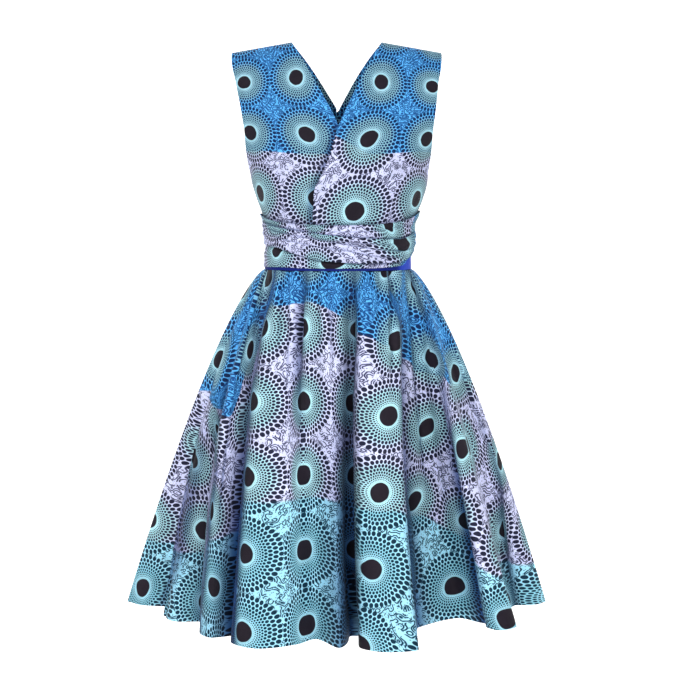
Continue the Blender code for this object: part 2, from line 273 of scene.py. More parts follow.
# Print of the skirt's front along its folds: each line is given at PRINT_LEVELS by its share of
# the cloth's width and by the print column there. A pair close together is a fold that hides
# what is printed between them.
PRINT_LEVELS = (0.02, 0.16, 0.27, 0.36, 0.56, 0.76, 0.96)
PRINT_FRONT = (
    ((0.000, 0.000, 0.000, 0.000, 0.000, 0.000, 0.000), (2.05, 1.98, 1.80, 1.45, 0.40, 0.05, -0.22)),
    ((0.010, 0.020, 0.015, 0.015, 0.021, 0.026, 0.021), (2.12, 2.03, 1.90, 1.52, 0.55, 0.26, 0.00)),
    ((0.020, 0.045, 0.029, 0.035, 0.060, 0.055, 0.041), (2.40, 2.12, 2.00, 1.62, 0.70, 0.46, 0.32)),
    ((0.100, 0.109, 0.105, 0.095, 0.106, 0.105, 0.100), (2.40, 2.20, 2.15, 1.75, 0.99, 0.52, 0.34)),
    ((0.112, 0.125, 0.125, 0.112, 0.116, 0.127, 0.116), (2.45, 2.36, 2.30, 1.90, 1.05, 0.72, 0.46)),
    ((0.131, 0.142, 0.139, 0.125, 0.136, 0.139, 0.128), (2.50, 2.50, 2.45, 2.10, 1.20, 0.87, 0.58)),
    ((0.145, 0.180, 0.175, 0.134, 0.144, 0.145, 0.139), (2.60, 2.58, 2.53, 2.23, 1.31, 0.96, 0.73)),
    ((0.160, 0.215, 0.205, 0.150, 0.200, 0.200, 0.195), (2.70, 2.70, 2.60, 2.34, 1.40, 1.03, 0.88)),
    ((0.225, 0.226, 0.222, 0.175, 0.218, 0.216, 0.208), (2.70, 2.72, 2.62, 2.40, 2.25, 1.96, 1.55)),
    ((0.244, 0.239, 0.237, 0.227, 0.236, 0.234, 0.230), (2.85, 2.92, 2.85, 2.52, 2.50, 2.25, 2.00)),
    ((0.284, 0.243, 0.245, 0.239, 0.242, 0.240, 0.237), (3.00, 3.03, 3.03, 2.75, 2.65, 2.38, 2.22)),
    ((0.297, 0.247, 0.249, 0.243, 0.246, 0.243, 0.240), (3.00, 3.14, 3.14, 2.76, 2.66, 2.39, 2.23)),
    ((0.316, 0.300, 0.278, 0.261, 0.257, 0.256, 0.258), (3.20, 3.28, 3.32, 3.02, 2.82, 2.52, 2.42)),
    ((0.327, 0.309, 0.298, 0.291, 0.290, 0.290, 0.292), (3.98, 4.07, 4.04, 4.02, 3.96, 3.87, 3.86)),
    ((0.351, 0.342, 0.331, 0.330, 0.325, 0.325, 0.330), (4.25, 4.26, 4.25, 4.26, 4.25, 4.25, 4.26)),
    ((0.373, 0.374, 0.365, 0.365, 0.362, 0.357, 0.358), (4.50, 4.47, 4.48, 4.48, 4.48, 4.48, 4.50)),
    ((0.410, 0.395, 0.393, 0.392, 0.390, 0.390, 0.393), (4.87, 4.58, 4.76, 4.97, 4.99, 4.99, 4.99)),
    ((0.415, 0.400, 0.397, 0.396, 0.394, 0.393, 0.397), (5.00, 4.96, 5.00, 4.99, 5.00, 5.00, 5.00)),
    ((0.443, 0.426, 0.423, 0.423, 0.419, 0.420, 0.423), (5.25, 5.25, 5.25, 5.25, 5.25, 5.25, 5.24)),
    ((0.471, 0.463, 0.455, 0.457, 0.452, 0.456, 0.465), (5.50, 5.50, 5.50, 5.50, 5.50, 5.50, 5.52)),
    ((0.494, 0.489, 0.483, 0.483, 0.481, 0.481, 0.485), (5.75, 5.75, 5.75, 5.75, 5.70, 5.70, 5.75)),
    ((0.535, 0.534, 0.525, 0.512, 0.508, 0.506, 0.528), (5.97, 6.06, 6.04, 5.98, 5.86, 5.86, 5.95)),
    ((0.546, 0.546, 0.539, 0.524, 0.520, 0.518, 0.549), (6.08, 6.42, 6.45, 6.50, 6.66, 6.78, 6.98)),
    ((0.574, 0.576, 0.576, 0.570, 0.571, 0.562, 0.565), (6.50, 6.53, 6.62, 6.72, 6.83, 6.88, 7.06)),
    ((0.603, 0.620, 0.616, 0.612, 0.592, 0.577, 0.586), (7.00, 6.94, 7.00, 7.00, 7.00, 7.00, 7.24)),
    ((0.605, 0.625, 0.625, 0.623, 0.613, 0.612, 0.614), (7.02, 6.99, 7.06, 7.09, 7.16, 7.29, 7.50)),
    ((0.607, 0.630, 0.639, 0.640, 0.640, 0.648, 0.648), (7.04, 7.06, 7.12, 7.22, 7.31, 7.54, 7.68)),
    ((0.609, 0.650, 0.705, 0.713, 0.719, 0.733, 0.725), (7.06, 7.32, 7.42, 7.50, 7.62, 8.22, 8.50)),
    ((0.640, 0.715, 0.729, 0.731, 0.728, 0.748, 0.740), (7.28, 7.43, 7.49, 7.59, 7.74, 8.34, 8.64)),
    ((0.680, 0.742, 0.750, 0.748, 0.737, 0.760, 0.754), (7.50, 7.54, 7.56, 7.68, 7.83, 8.46, 8.78)),
    ((0.740, 0.769, 0.770, 0.772, 0.745, 0.773, 0.764), (7.70, 7.72, 7.76, 7.80, 7.89, 8.60, 8.89)),
    ((0.800, 0.799, 0.794, 0.803, 0.753, 0.787, 0.774), (7.90, 7.84, 7.87, 8.00, 8.00, 8.74, 9.00)),
    ((0.812, 0.812, 0.808, 0.814, 0.776, 0.803, 0.789), (7.98, 7.92, 7.93, 8.05, 8.25, 8.84, 9.13)),
    ((0.822, 0.830, 0.822, 0.826, 0.807, 0.817, 0.807), (8.05, 8.00, 8.00, 8.10, 8.48, 8.96, 9.26)),
    ((0.830, 0.842, 0.838, 0.840, 0.828, 0.829, 0.818), (8.09, 8.03, 8.02, 8.14, 8.62, 9.05, 9.35)),
    ((0.837, 0.850, 0.850, 0.850, 0.845, 0.838, 0.827), (8.12, 8.07, 8.04, 8.24, 8.76, 9.12, 9.44)),
    ((0.842, 0.861, 0.863, 0.858, 0.849, 0.841, 0.830), (8.20, 8.34, 8.24, 8.62, 8.92, 9.45, 9.62)),
    ((0.860, 0.869, 0.870, 0.867, 0.858, 0.852, 0.843), (8.25, 8.44, 8.44, 8.80, 9.06, 9.50, 9.81)),
    ((0.900, 0.942, 0.937, 0.941, 0.867, 0.860, 0.857), (8.30, 8.52, 8.80, 9.00, 9.20, 9.56, 10.00)),
    ((0.925, 0.961, 0.956, 0.955, 0.947, 0.868, 0.864), (8.35, 8.59, 8.90, 9.09, 9.34, 9.66, 10.05)),
    ((0.945, 0.972, 0.966, 0.963, 0.964, 0.950, 0.874), (8.40, 8.66, 9.00, 9.18, 9.48, 9.75, 10.12)),
    ((0.960, 0.978, 0.972, 0.969, 0.976, 0.962, 0.904), (8.45, 8.71, 9.05, 9.24, 9.68, 9.84, 10.21)),
    ((0.970, 0.985, 0.977, 0.974, 0.985, 0.967, 0.960), (8.50, 8.75, 9.10, 9.30, 9.82, 9.92, 10.28)),
    ((0.973, 0.987, 0.982, 0.978, 0.987, 0.970, 0.963), (8.50, 8.75, 9.10, 9.30, 9.83, 10.35, 10.65)),
    ((0.986, 0.994, 0.991, 0.988, 0.994, 0.988, 0.974), (8.55, 8.78, 9.15, 9.35, 9.95, 10.55, 10.74)),
    ((1.000, 1.000, 1.000, 1.000, 1.000, 1.000, 1.000), (8.60, 8.80, 9.20, 9.40, 10.06, 10.76, 10.84)),
)
# Folds of the front that lap: the line of PRINT_FRONT they start from, which side lies over
# (1 the viewer's right, -1 the left), reach, width and darkness of the shade beside the edge,
# and depth at each of PRINT_LEVELS.
LAPS = (
    (2, -1, 0.014, 0.012, 0.55, (0.0, 0.0005, 0.0010, 0.0010, 0.0030, 0.0040, 0.0050)),
    (7, 1, 0.018, 0.014, 0.65, (0.0010, 0.0010, 0.0010, 0.0040, 0.0060, 0.0060, 0.0070)),
    (10, 1, 0.008, 0.009, 0.75, (0.0020, 0.0035, 0.0035, 0.0010, 0.0, 0.0, 0.0)),
    (12, 1, 0.024, 0.026, 1.00, (0.0050, 0.0055, 0.0055, 0.0060, 0.0070, 0.0080, 0.0080)),
    (16, 1, 0.015, 0.022, 0.93, (0.0050, 0.0055, 0.0045, 0.0025, 0.0005, 0.0, 0.0)),
    (21, 1, 0.034, 0.032, 0.92, (0.0030, 0.0050, 0.0060, 0.0110, 0.0170, 0.0180, 0.0180)),
    (26, -1, 0.022, 0.016, 0.75, (0.0050, 0.0060, 0.0060, 0.0060, 0.0060, 0.0060, 0.0060)),
    (35, 1, 0.030, 0.013, 0.92, (0.0050, 0.0060, 0.0065, 0.0070, 0.0090, 0.0100, 0.0100)),
    (42, 1, 0.014, 0.012, 0.55, (0.0, 0.0, 0.0010, 0.0020, 0.0030, 0.0050, 0.0050)),
)
LAP_ROLL = 0.25          # height of the roll beside a lap, as a share of its depth
LAP_FULL_SHADE = 0.004   # depth from which a lap casts its whole shade
LIP_WIDTH = 0.004
LIP_SHADE = 0.45         # share of the shade that falls on the upper cloth
FLANK_DEPTH = 0.030      # how far behind its edge the hidden side of a lap clears up
FLANK_SHADE = 0.25       # share of the shade that is left there
SHADE_CURVE = 1.8        # above 1 the middle tones of a shade are darker
# Folds of the front that take in one more whole repeat: shares of the width where each begins
# and ends at PRINT_LEVELS. The first TAKEN_LEFT of them lie to the viewer's left of the middle.
TAKEN_IN = (
    ((0.020, 0.045, 0.029, 0.035, 0.050, 0.055, 0.041), (0.100, 0.109, 0.105, 0.095, 0.112, 0.105, 0.100)),
    ((0.145, 0.180, 0.175, 0.134, 0.144, 0.145, 0.139), (0.160, 0.215, 0.205, 0.150, 0.200, 0.200, 0.195)),
    ((0.606, 0.630, 0.640, 0.641, 0.641, 0.649, 0.649), (0.610, 0.650, 0.704, 0.712, 0.718, 0.732, 0.724)),
    ((0.862, 0.872, 0.874, 0.872, 0.886, 0.888, 0.914), (0.898, 0.922, 0.916, 0.922, 0.938, 0.940, 0.953)),
)
TAKEN_LEFT = 2
PRINT_BACK = tuple(
    (tuple(k / 12.0 for _ in PRINT_LEVELS), tuple(8.1 * k / 12.0 + 1.9 + spread * (k / 12.0 * 3.1 - 1.2)
                                                 for spread in (0.0, 0.1, 0.2, 0.3, 0.5, 0.8, 1.0)))
    for k in range(13))

# Share of the skirt's height at the first print row, and the print rows at which the ground
# turns from blue to lilac and from lilac to aqua.
PRINT_ROWS = (
    # column  first   lilac   aqua
    (-1.0, 0.350, 0.00, 2.45),
    (0.0, 0.350, 0.00, 2.30),
    (1.0, 0.343, 0.00, 2.30),
    (2.0, 0.266, 0.62, 2.38),
    (2.5, 0.245, 0.80, 2.36),
    (3.0, 0.222, 0.20, 2.34),
    (4.0, 0.162, -0.30, 2.32),
    (5.0, 0.157, -0.36, 2.31),
    (6.0, 0.163, -0.10, 2.28),
    (7.0, 0.192, 0.10, 2.24),
    (8.0, 0.252, 0.22, 2.20),
    (9.0, 0.306, 0.12, 2.24),
    (10.0, 0.372, 0.00, 2.45),
    (12.0, 0.400, 0.00, 2.48),
)
PRINT_ROW_SHARE = 0.200

# Print of each bodice piece: the row where blue ends, the slope of that border, how far the
# middle roundels are drawn on the bias, and a table by row: its drop at columns 0 and 1, the
# place of column 0 and the spacing.
BODICE_PRINTS = {
    "left": (1.22, 0.5, 0.32, (
        (-1.0, -0.020, -0.015, 0.094, 0.068),
        (0.0, 0.0664, 0.0691, 0.0719, 0.0859),
        (1.0, 0.1571, 0.1571, 0.0492, 0.1051),
        (2.0, 0.2746, 0.2545, 0.0241, 0.1215),
        (3.0, 0.395, 0.360, 0.010, 0.128),
    )),
    "right": (1.31, 0.0, -0.32, (
        (-1.0, -0.028, -0.024, -0.083, 0.074),
        (0.0, 0.0597, 0.0570, -0.0672, 0.0872),
        (1.0, 0.1505, 0.1545, -0.0515, 0.1012),
        (2.0, 0.2532, 0.2612, -0.0360, 0.1184),
        (3.0, 0.365, 0.375, -0.030, 0.122),
    )),
    "back": (1.25, 0.0, 0.0, (
        (-1.0, -0.030, -0.030, 0.0, 0.074),
        (0.0, 0.0600, 0.0600, 0.0, 0.0870),
        (1.0, 0.1530, 0.1530, 0.0, 0.1020),
        (2.0, 0.2620, 0.2620, 0.0, 0.1120),
        (3.0, 0.378, 0.378, 0.0, 0.120),
    )),
}
BIAS_ROWS = 0.35
BIAS_COLUMNS = 0.5
ROUNDS = 6               # in which the column and row at a point of the bodice settle
ROUNDING = 0.85          # 1 holds a motif level in its middle, 0 lets it lean with its row
BODICE_SHADE = 0.15
UNDER_LAP_SHADE = 0.75   # on the under front, beside the edge of the upper one
UNDER_LAP_WIDTH = 0.007
NO_ZONE = -9.0           # far from the next colour of ground

# Sash print along each stretch: waist angle, a drop, and the print column and row there.
SASH_PRINT = {
    "lower": (
        (-180.0, 0.350, -3.10, 0.10), (-90.0, 0.347, -0.78, 0.10), (-52.0, 0.3410, 0.0, 0.0),
        (-26.0, 0.350, 0.48, 0.0), (-3.5, 0.3600, 1.0, 0.0), (12.0, 0.3600, 1.28, 0.06),
        (28.0, 0.352, 1.60, 0.30), (44.0, 0.350, 1.88, 0.52), (57.0, 0.350, 2.16, 0.50),
        (90.0, 0.345, 2.80, 0.40), (180.0, 0.350, 4.90, 0.10),
    ),
    "upper": (
        (-180.0, 0.305, -3.70, 0.20), (-90.0, 0.300, -1.62, 0.20), (-26.0, 0.310, -0.36, 0.45),
        (-15.0, 0.310, -0.04, 0.32), (5.0, 0.3055, 0.48, 0.50), (20.0, 0.310, 0.76, 0.42),
        (44.0, 0.3120, 1.20, 0.0), (62.0, 0.310, 1.52, -0.08), (90.0, 0.300, 2.10, 0.10),
        (180.0, 0.305, 4.10, 0.20),
    ),
    "crossing": (
        (-90.0, 0.315, -0.80, 0.36), (-52.0, 0.325, -0.08, 0.42), (-26.0, 0.325, 0.50, 0.42),
        (9.0, 0.342, 1.48, 0.42), (28.0, 0.338, 1.74, 0.26), (52.0, 0.3310, 2.00, 0.0),
        (70.0, 0.325, 2.26, -0.08), (90.0, 0.320, 2.60, -0.10),
    ),
}
SASH_ROW = 0.106         # distance between print rows
SASH_SLANT = 0.10        # columns that the print slides for each row
SASH_SHADE = 0.12
# Waist angles past which the sash shows the blue ground, to the viewer's left and right.
SASH_BLUE = {"lower": (-83.0, 52.0), "upper": (-80.0, 68.0), "crossing": (-80.0, 66.0)}
SASH_BLUE_FADES = 20.0
# Creases of the sash: stretch, waist angles and drops along each, depth, and darkness of the painted shade
# along it.
SASH_CREASES = (
    ("upper", (-75.0, -30.0, 5.0, 45.0, 80.0), (0.2900, 0.3045, 0.3085, 0.3015, 0.2860), 0.0010, 0.40),
    ("upper", (100.0, 150.0, 210.0, 260.0), (0.2900, 0.2980, 0.3040, 0.3000), 0.0010, 0.35),
    ("upper", (-170.0, -130.0, -95.0), (0.3150, 0.3100, 0.3000), 0.0010, 0.35),
    ("crossing", (-72.0, -15.0, 25.0, 62.0), (0.3010, 0.3195, 0.3370, 0.3420), 0.0013, 0.55),
    ("crossing", (-62.0, -5.0, 30.0, 60.0), (0.3120, 0.3350, 0.3490, 0.3500), 0.0013, 0.50),
    ("crossing", (-30.0, 10.0, 48.0), (0.3090, 0.3265, 0.3300), 0.0010, 0.40),
    ("crossing", (34.0, 50.0, 72.0), (0.3370, 0.3395, 0.3340), 0.0014, 0.85),
    ("lower", (-80.0, -30.0, 10.0, 50.0, 85.0), (0.3300, 0.3440, 0.3610, 0.3540, 0.3450), 0.0010, 0.45),
    ("lower", (95.0, 140.0, 175.0), (0.3300, 0.3400, 0.3480), 0.0010, 0.35),
    ("lower", (-175.0, -130.0, -90.0), (0.3380, 0.3500, 0.3420), 0.0010, 0.35),
)
TUCK_FADES = 14.0        # waist angle over which a crease runs out
TUCK_WIDTH = 0.0020
TUCK_ROLL = 0.7          # height of the roll below a crease, as a share of its depth
TUCK_ROLL_DROP = 0.0042
TUCK_ROLL_WIDTH = 0.0030
TUCK_SHADE_WIDTH = 0.0017       # half width of the painted shade line along a crease
TUCK_EDGE = 0.0012       # half width of the step in the print across a crease
TUCK_HIDES = 0.04        # print rows that a crease hides
SASH_RIM = 0.0625        # share of the width that takes painted shade along each edge
SASH_RIM_SHADE = 0.35
SASH_CLEAR = 0.12        # share of the width beside each edge where pleats run out
# Waist angles over which the shade beside the crossing stretch sets in, from each of its ends.
CROSSING_FROM = (-82.0, -70.0)
CROSSING_TO = (86.0, 74.0)
# Shade beside cloth that lies over: its width and darkness.
ABOVE_CROSSING = (0.0032, 0.75)
BELOW_CROSSING = (0.0036, 0.70)
ABOVE_SASH = (0.006, 0.60)
BAND_SHADE = 0.85        # on the waistband beneath the sash
BAND_CLEARS = (46.0, 58.0)  # waist angles over which the waistband comes out of it
BAND_BRIGHTER = 0.8

# Soft folds of the bodice: from and to as place round the girth and drop, half width, depth.
BODICE_FOLDS = (
    (0.105, 0.215, 0.060, 0.300, 0.010, 0.0022),
    (0.135, 0.235, 0.095, 0.305, 0.009, 0.0020),
    (0.050, 0.200, 0.010, 0.290, 0.009, 0.0018),
    (-0.020, 0.170, 0.050, 0.230, 0.010, 0.0012),
    (0.150, 0.180, 0.120, 0.215, 0.010, 0.0014),
    (-0.060, 0.215, -0.045, 0.300, 0.009, 0.0020),
    (-0.100, 0.225, -0.085, 0.305, 0.010, 0.0022),
    (-0.145, 0.215, -0.120, 0.300, 0.009, 0.0018),
    (-0.150, 0.175, -0.110, 0.200, 0.010, 0.0014),
)
FOLD_FADES = 0.02
FOLD_VALLEY = 0.55       # depth of the valley beside a fold, as a share of its height
FOLD_VALLEY_AT = 1.9     # half widths away

# One repeat of the print. Radii are shares of it. A pair is where a part starts and stops fading.
DOTS_ROUND = 44
RING_RADIUS = 0.464      # of the outermost ring of dots
DOT_STRETCH = 0.82       # below 1 the dots are longer toward the core
DOT_SHRINK = 0.012       # from ring to ring
DOT_BLUR = 0.045
DOT_RINGS = (6.4, 9.2)
CORE_EDGE = (0.128, 0.138)
CORE_WOBBLE = 0.022
HALO_EDGE = (0.150, 0.240)
FIELD_EDGE = (0.300, 0.455)
FILLER_EDGE = (0.485, 0.500)
SQUIGGLE_LINES = 4.2
SPECKS_ACROSS = 24.0
SPECK_EDGE = (0.10, 0.20)
BREAK_EDGE = (0.40, 0.43)
LINES_ON_BLUE = 0.95
LILAC_BORDER = 0.012     # half widths of the borders between grounds
AQUA_BORDER = 0.03
MOTTLING = (0.90, 1.08)  # darkest and brightest of the uneven dye

# Heights of threads, slubs and crumpling, and the surface of the cotton.
THREAD_HEIGHT = 0.00004
SLUB_HEIGHT = 0.00012
CRUMPLE_HEIGHT = 0.0012
BUMP_STRENGTH = 0.8
COTTON_ROUGHNESS = 0.62
COTTON_SHEEN = 0.02
COTTON_GLOSS = 0.12
SHEEN_ROUGHNESS = 0.4
WHITE = (1.0, 1.0, 1.0, 1.0)

# Printed colours as they look on a screen.
PRINT_COLOURS = {
    "blue_ground": (90, 178, 242),
    "lilac_ground": (205, 209, 242),
    "aqua_ground": (158, 216, 238),
    "blue_field": (136, 186, 200),
    "lilac_field": (158, 202, 212),
    "aqua_field": (134, 196, 214),
    "blue_halo": (172, 222, 236),
    "lilac_halo": (180, 230, 240),
    "aqua_halo": (160, 216, 234),
    "blue_ink": (6, 38, 80),
    "blue_line": (6, 54, 116),
    "lilac_line": (58, 60, 90),
    "aqua_line": (10, 54, 76),
    "lilac_ink": (28, 30, 52),
    "aqua_ink": (6, 42, 60),
    "core": (28, 22, 32),
}
ROYAL_BAND = (40, 70, 190)
# Painted shade for the wrong side, which lies in shadow inside the dress: its colour, and how much of it
# each finish mixes in.
INSIDE_SHADE_TONE = (18, 19, 36)
WRONG_SIDE = ("wrong_side", {"inside_shade": 0.85})
INSIDE_BACK = ("inside_back", {"inside_shade": 0.94})

# ---- stage ---------------------------------------------------------------------------
FLOOR_Z = -1.45
FLOOR_FRONT_Y = -14.0
CORNER_Y = 3.0
CORNER_RADIUS = 1.5
CORNER_STEPS = 12
BACKDROP_TOP_Z = 9.0
BACKDROP_HALF_WIDTH = 12.0
# Lamps: name, setting of their strength, where they stand, width, and where they point.
LAMPS = (
    ("key", "key", (-1.9, -3.1, 1.6), 1.6, (0.0, 0.0, -0.45)),
    ("fill", "fill", (2.0, -3.0, 0.3), 2.2, (0.0, 0.0, -0.55)),
    ("low", "low", (-0.3, -3.3, -0.95), 2.0, (0.0, 0.0, -0.75)),
    ("backdrop_left", "backdrop", (-1.8, 1.2, 1.0), 1.5, (-0.3, 4.0, -0.9)),
    ("backdrop_right", "backdrop", (1.8, 1.2, 1.0), 1.5, (0.3, 4.0, -0.9)),
)
RENDER_PIXELS = 700.0    # width of a render
FOCAL_PIXELS = 1599.4
AXIS_COLUMN = 336.6      # pixels from the render's left edge to the middle of the dress
CAMERA_AT = (0.0, -2.7, -0.2558)
CAMERA_PITCH = 0.09048
SENSOR_MM = 36.0
PAPER = ((0.88, 0.88, 0.88, 1.0), (0.92, 0.92, 0.92, 1.0))
PAPER_ROUGHNESS = 0.9


# ---- form ----------------------------------------------------------------------------
def eased(table, column, at):
    """Smooth value of one column of a table whose first column rises, without overshoot."""
    knots = np.array([row[0] for row in table], float)
    values = np.array([row[column] for row in table], float)
    step = np.diff(knots)
    slope = np.diff(values) / step
    tangent = np.zeros(len(knots))
    tangent[0] = slope[0]
    tangent[-1] = slope[-1]
    for i in range(1, len(step)):
        if slope[i - 1] * slope[i] > 0.0:
            before = 2.0 * step[i] + step[i - 1]
            after = step[i] + 2.0 * step[i - 1]
            tangent[i] = (before + after) / (before / slope[i - 1] + after / slope[i])
    at = np.clip(np.asarray(at, float), knots[0], knots[-1])
    k = np.clip(np.searchsorted(knots, at, side="right") - 1, 0, len(step) - 1)
    t = (at - knots[k]) / step[k]
    near = (1.0 + 2.0 * t) * (1.0 - t) ** 2 * values[k]
    lean = t * (1.0 - t) ** 2 * step[k] * tangent[k]
    far = t ** 2 * (3.0 - 2.0 * t) * values[k + 1]
    reach = t ** 2 * (t - 1.0) * step[k] * tangent[k + 1]
    return near + lean + far + reach


def smooth_step(low, high, value):
    """0 below low, 1 above high, eased between."""
    t = np.clip((value - low) / (high - low), 0.0, 1.0)
    return t * t * (3.0 - 2.0 * t)


def bell(away, width):
    """1 in the middle of a soft line, falling away on both sides."""
    return np.exp(-(away / width) ** 2)


def torso(angle, drop, out=0.0):
    """Plan points of the figure's girth. Angle 0 is the front, 90 the viewer's right."""
    angle, drop, out = np.broadcast_arrays(np.asarray(angle, float), drop, out)
    half = eased(GIRTH, 2, drop) + out
    front = eased(GIRTH, 3, drop) + out
    back = eased(GIRTH, 4, drop) + out
    lean = eased(GIRTH, 5, drop)
    sine = np.sin(np.radians(angle))
    cosine = np.cos(np.radians(angle))
    power = 2.0 / GIRTH_POWER
    x = np.sign(sine) * half * np.abs(sine) ** power
    fall = ((np.abs(x) - BUST_X) / BUST_WIDTH) ** 2 + ((drop - BUST_DROP) / BUST_HEIGHT) ** 2
    bust = BUST_RISE * np.exp(-fall) * np.clip(3.0 * cosine, 0.0, 1.0)
    y = np.where(cosine >= 0.0, -(front * np.abs(cosine) ** power + bust),
                 back * np.abs(cosine) ** power)
    return x + lean, y


def angle_at(x, drop):
    """Front angle at which the girth passes a given x."""
    share = np.minimum(np.abs(x) / eased(GIRTH, 2, drop), 1.0) ** (GIRTH_POWER / 2.0)
    return np.sign(x) * np.degrees(np.arcsin(share))


def row_height(x, drop):
    """Rows near the shoulder follow its slope, rows below the bust lie level."""
    tilt = SHOULDER_RISE - (np.abs(x) - SHOULDER_NECK_X) * SHOULDER_SLOPE
    return tilt * (1.0 - smooth_step(0.0, SLOPE_FADES, drop)) - drop


def run_along(points, axis):
    """Distance along a sheet's columns or rows from its first one."""
    step = np.linalg.norm(np.diff(points, axis=axis), axis=2)
    start = np.zeros_like(np.take(step, [0], axis=axis))
    return np.concatenate((start, np.cumsum(step, axis=axis)), axis=axis)


def facing(points, closed=False):
    """Outward normals of a sheet of columns that run round the figure and rows that run down."""
    if closed:
        across = np.roll(points, -1, axis=0) - np.roll(points, 1, axis=0)
    else:
        across = np.gradient(points, axis=0)
    down = np.gradient(points, axis=1)
    normal = np.cross(down, across)
    return normal / np.maximum(np.linalg.norm(normal, axis=2), 1e-12)[:, :, None]


def cloth(name, points, layers, shade, closed=False, turned=False):
    """A closed thin wall inside a sheet of outer points, its UV maps and its painted shade."""
    columns, rows = points.shape[:2]
    sign = -1.0 if turned else 1.0
    normal = sign * facing(points, closed)
    at_seam = np.abs(points[:, :, 1]) < SEAM_GAP
    normal[at_seam, 1] = 0.0
    normal[points[:, :, 0] == 0.0, 0] = 0.0
    normal /= np.linalg.norm(normal, axis=2)[:, :, None]
    inner = points - normal * bpy.context.scene.dress_cloth.thickness
    count = columns * rows
    index = np.arange(count).reshape(columns, rows)
    if closed:
        index = np.concatenate((index, index[:1]))
    place = np.arange(len(index) * rows).reshape(len(index), rows)
    sheets = []
    for ids in (index, place):
        sheets.append(np.stack((ids[:-1, :-1], ids[:-1, 1:], ids[1:, 1:], ids[1:, :-1]),
                               axis=2).reshape(-1, 4))
    faces = [sheets[0], sheets[0][:, ::-1] + count]
    corners = [sheets[1], sheets[1][:, ::-1]]
    rims = [(index[1:, 0], index[:-1, 0], place[1:, 0], place[:-1, 0]),
            (index[:-1, -1], index[1:, -1], place[:-1, -1], place[1:, -1])]
    if not closed:
        rims.append((index[0, :-1], index[0, 1:], place[0, :-1], place[0, 1:]))
        rims.append((index[-1, 1:], index[-1, :-1], place[-1, 1:], place[-1, :-1]))
    for first, second, first_uv, second_uv in rims:
        faces.append(np.stack((second, first, first + count, second + count), axis=1))
        corners.append(np.stack((second_uv, first_uv, first_uv, second_uv), axis=1))
    slots = np.concatenate([np.full(len(f), 1 if k == 1 else 0) for k, f in enumerate(faces)])
    faces = np.concatenate(faces)
    corners = np.concatenate(corners)
    if turned:
        faces = faces[:, ::-1]
        corners = corners[:, ::-1]
    mesh = bpy.data.meshes.new(name)
    everything = np.concatenate((points.reshape(-1, 3), inner.reshape(-1, 3)))
    mesh.from_pydata(everything.tolist(), [], faces.tolist())
    for layer_name, values in layers.items():
        layer = mesh.uv_layers.new(name=layer_name)
        spread = values.reshape(-1, 2)[corners.ravel()]
        layer.data.foreach_set("uv", spread.ravel().astype(np.float32))
    mesh.polygons.foreach_set("material_index", slots.astype(np.int32))
    piece = bpy.data.objects.new(name, mesh)
    bpy.context.scene.collection.objects.link(piece)
    bpy.ops.object.select_all(action="DESELECT")
    piece.select_set(True)
    bpy.context.view_layer.objects.active = piece
    bpy.ops.object.shade_smooth_by_angle(angle=math.radians(SMOOTH_DEGREES))
    piece.select_set(False)
    painted_shade = mesh.attributes.new("shade", "FLOAT", "POINT")
    painted_shade.data.foreach_set("value", np.tile(shade.ravel(), 2).astype(np.float32))
    return piece


def soft_folds(across, drop, table):
    """Height of the listed soft folds, each a ridge along a line that fades at both ends."""
    height = np.zeros_like(across)
    for from_x, from_drop, to_x, to_drop, width, depth in table:
        along = np.array((to_x - from_x, to_drop - from_drop))
        length = np.linalg.norm(along)
        along /= length
        reach = (across - from_x) * along[0] + (drop - from_drop) * along[1]
        side = (across - from_x) * along[1] - (drop - from_drop) * along[0]
        fade = (smooth_step(-FOLD_FADES, FOLD_FADES, reach)
                * smooth_step(length + FOLD_FADES, length - FOLD_FADES, reach))
        valley = bell(side - FOLD_VALLEY_AT * width, width)
        profile = bell(side, width) - FOLD_VALLEY * valley
        height += depth * fade * profile
    return height


# ---- print ---------------------------------------------------------------------------
def rounder(place):
    """Places eased toward whole numbers, so that a motif keeps its shape where rows lean."""
    return place - ROUNDING * np.sin(2.0 * math.pi * place) / (2.0 * math.pi)


def at_levels(values, level):
    """Values that a table gives at PRINT_LEVELS, eased to the levels of the skirt's rows."""
    return eased(np.stack((PRINT_LEVELS, values), axis=1), 1, level)


def skirt_columns(table, level):
    """Shares of the width for a grid of mesh columns that follow the fold lines."""
    shares = np.array([at_levels(line[0], level) for line in table])
    middle = shares.mean(axis=1)
    at = np.round(middle * (SKIRT_COLUMNS - 1))
    for k in range(1, len(at)):
        at[k] = max(at[k], at[k - 1] + 1.0)
    at = np.minimum(at, SKIRT_COLUMNS - len(at) + np.arange(len(at)))
    index = np.arange(SKIRT_COLUMNS)
    grid = np.stack([np.interp(index, at, shares[:, r]) for r in range(shares.shape[1])], axis=1)
    return grid, at.astype(int)


def skirt_print(table, taken_in, level, share):
    """Print coordinates and colour zones of the skirt from level and share along it."""
    lines = np.array([(at_levels(shares, level), at_levels(columns, level))
                      for shares, columns in table])
    column = np.stack([eased(lines[:, :, r], 1, share[:, r]) for r in range(len(level))], axis=1)
    row = (level[None, :] - eased(PRINT_ROWS, 1, rounder(column))) / PRINT_ROW_SHARE
    zone = np.stack((row - eased(PRINT_ROWS, 2, column), row - eased(PRINT_ROWS, 3, column)), axis=2)
    whole = -float(min(TAKEN_LEFT, len(taken_in)))
    for begins, ends in taken_in:
        low, high = at_levels(begins, level), at_levels(ends, level)
        whole = whole + np.clip((share - low) / (high - low), 0.0, 1.0)
    return {"print": np.stack((column + whole, -row), axis=2), "zone": zone}


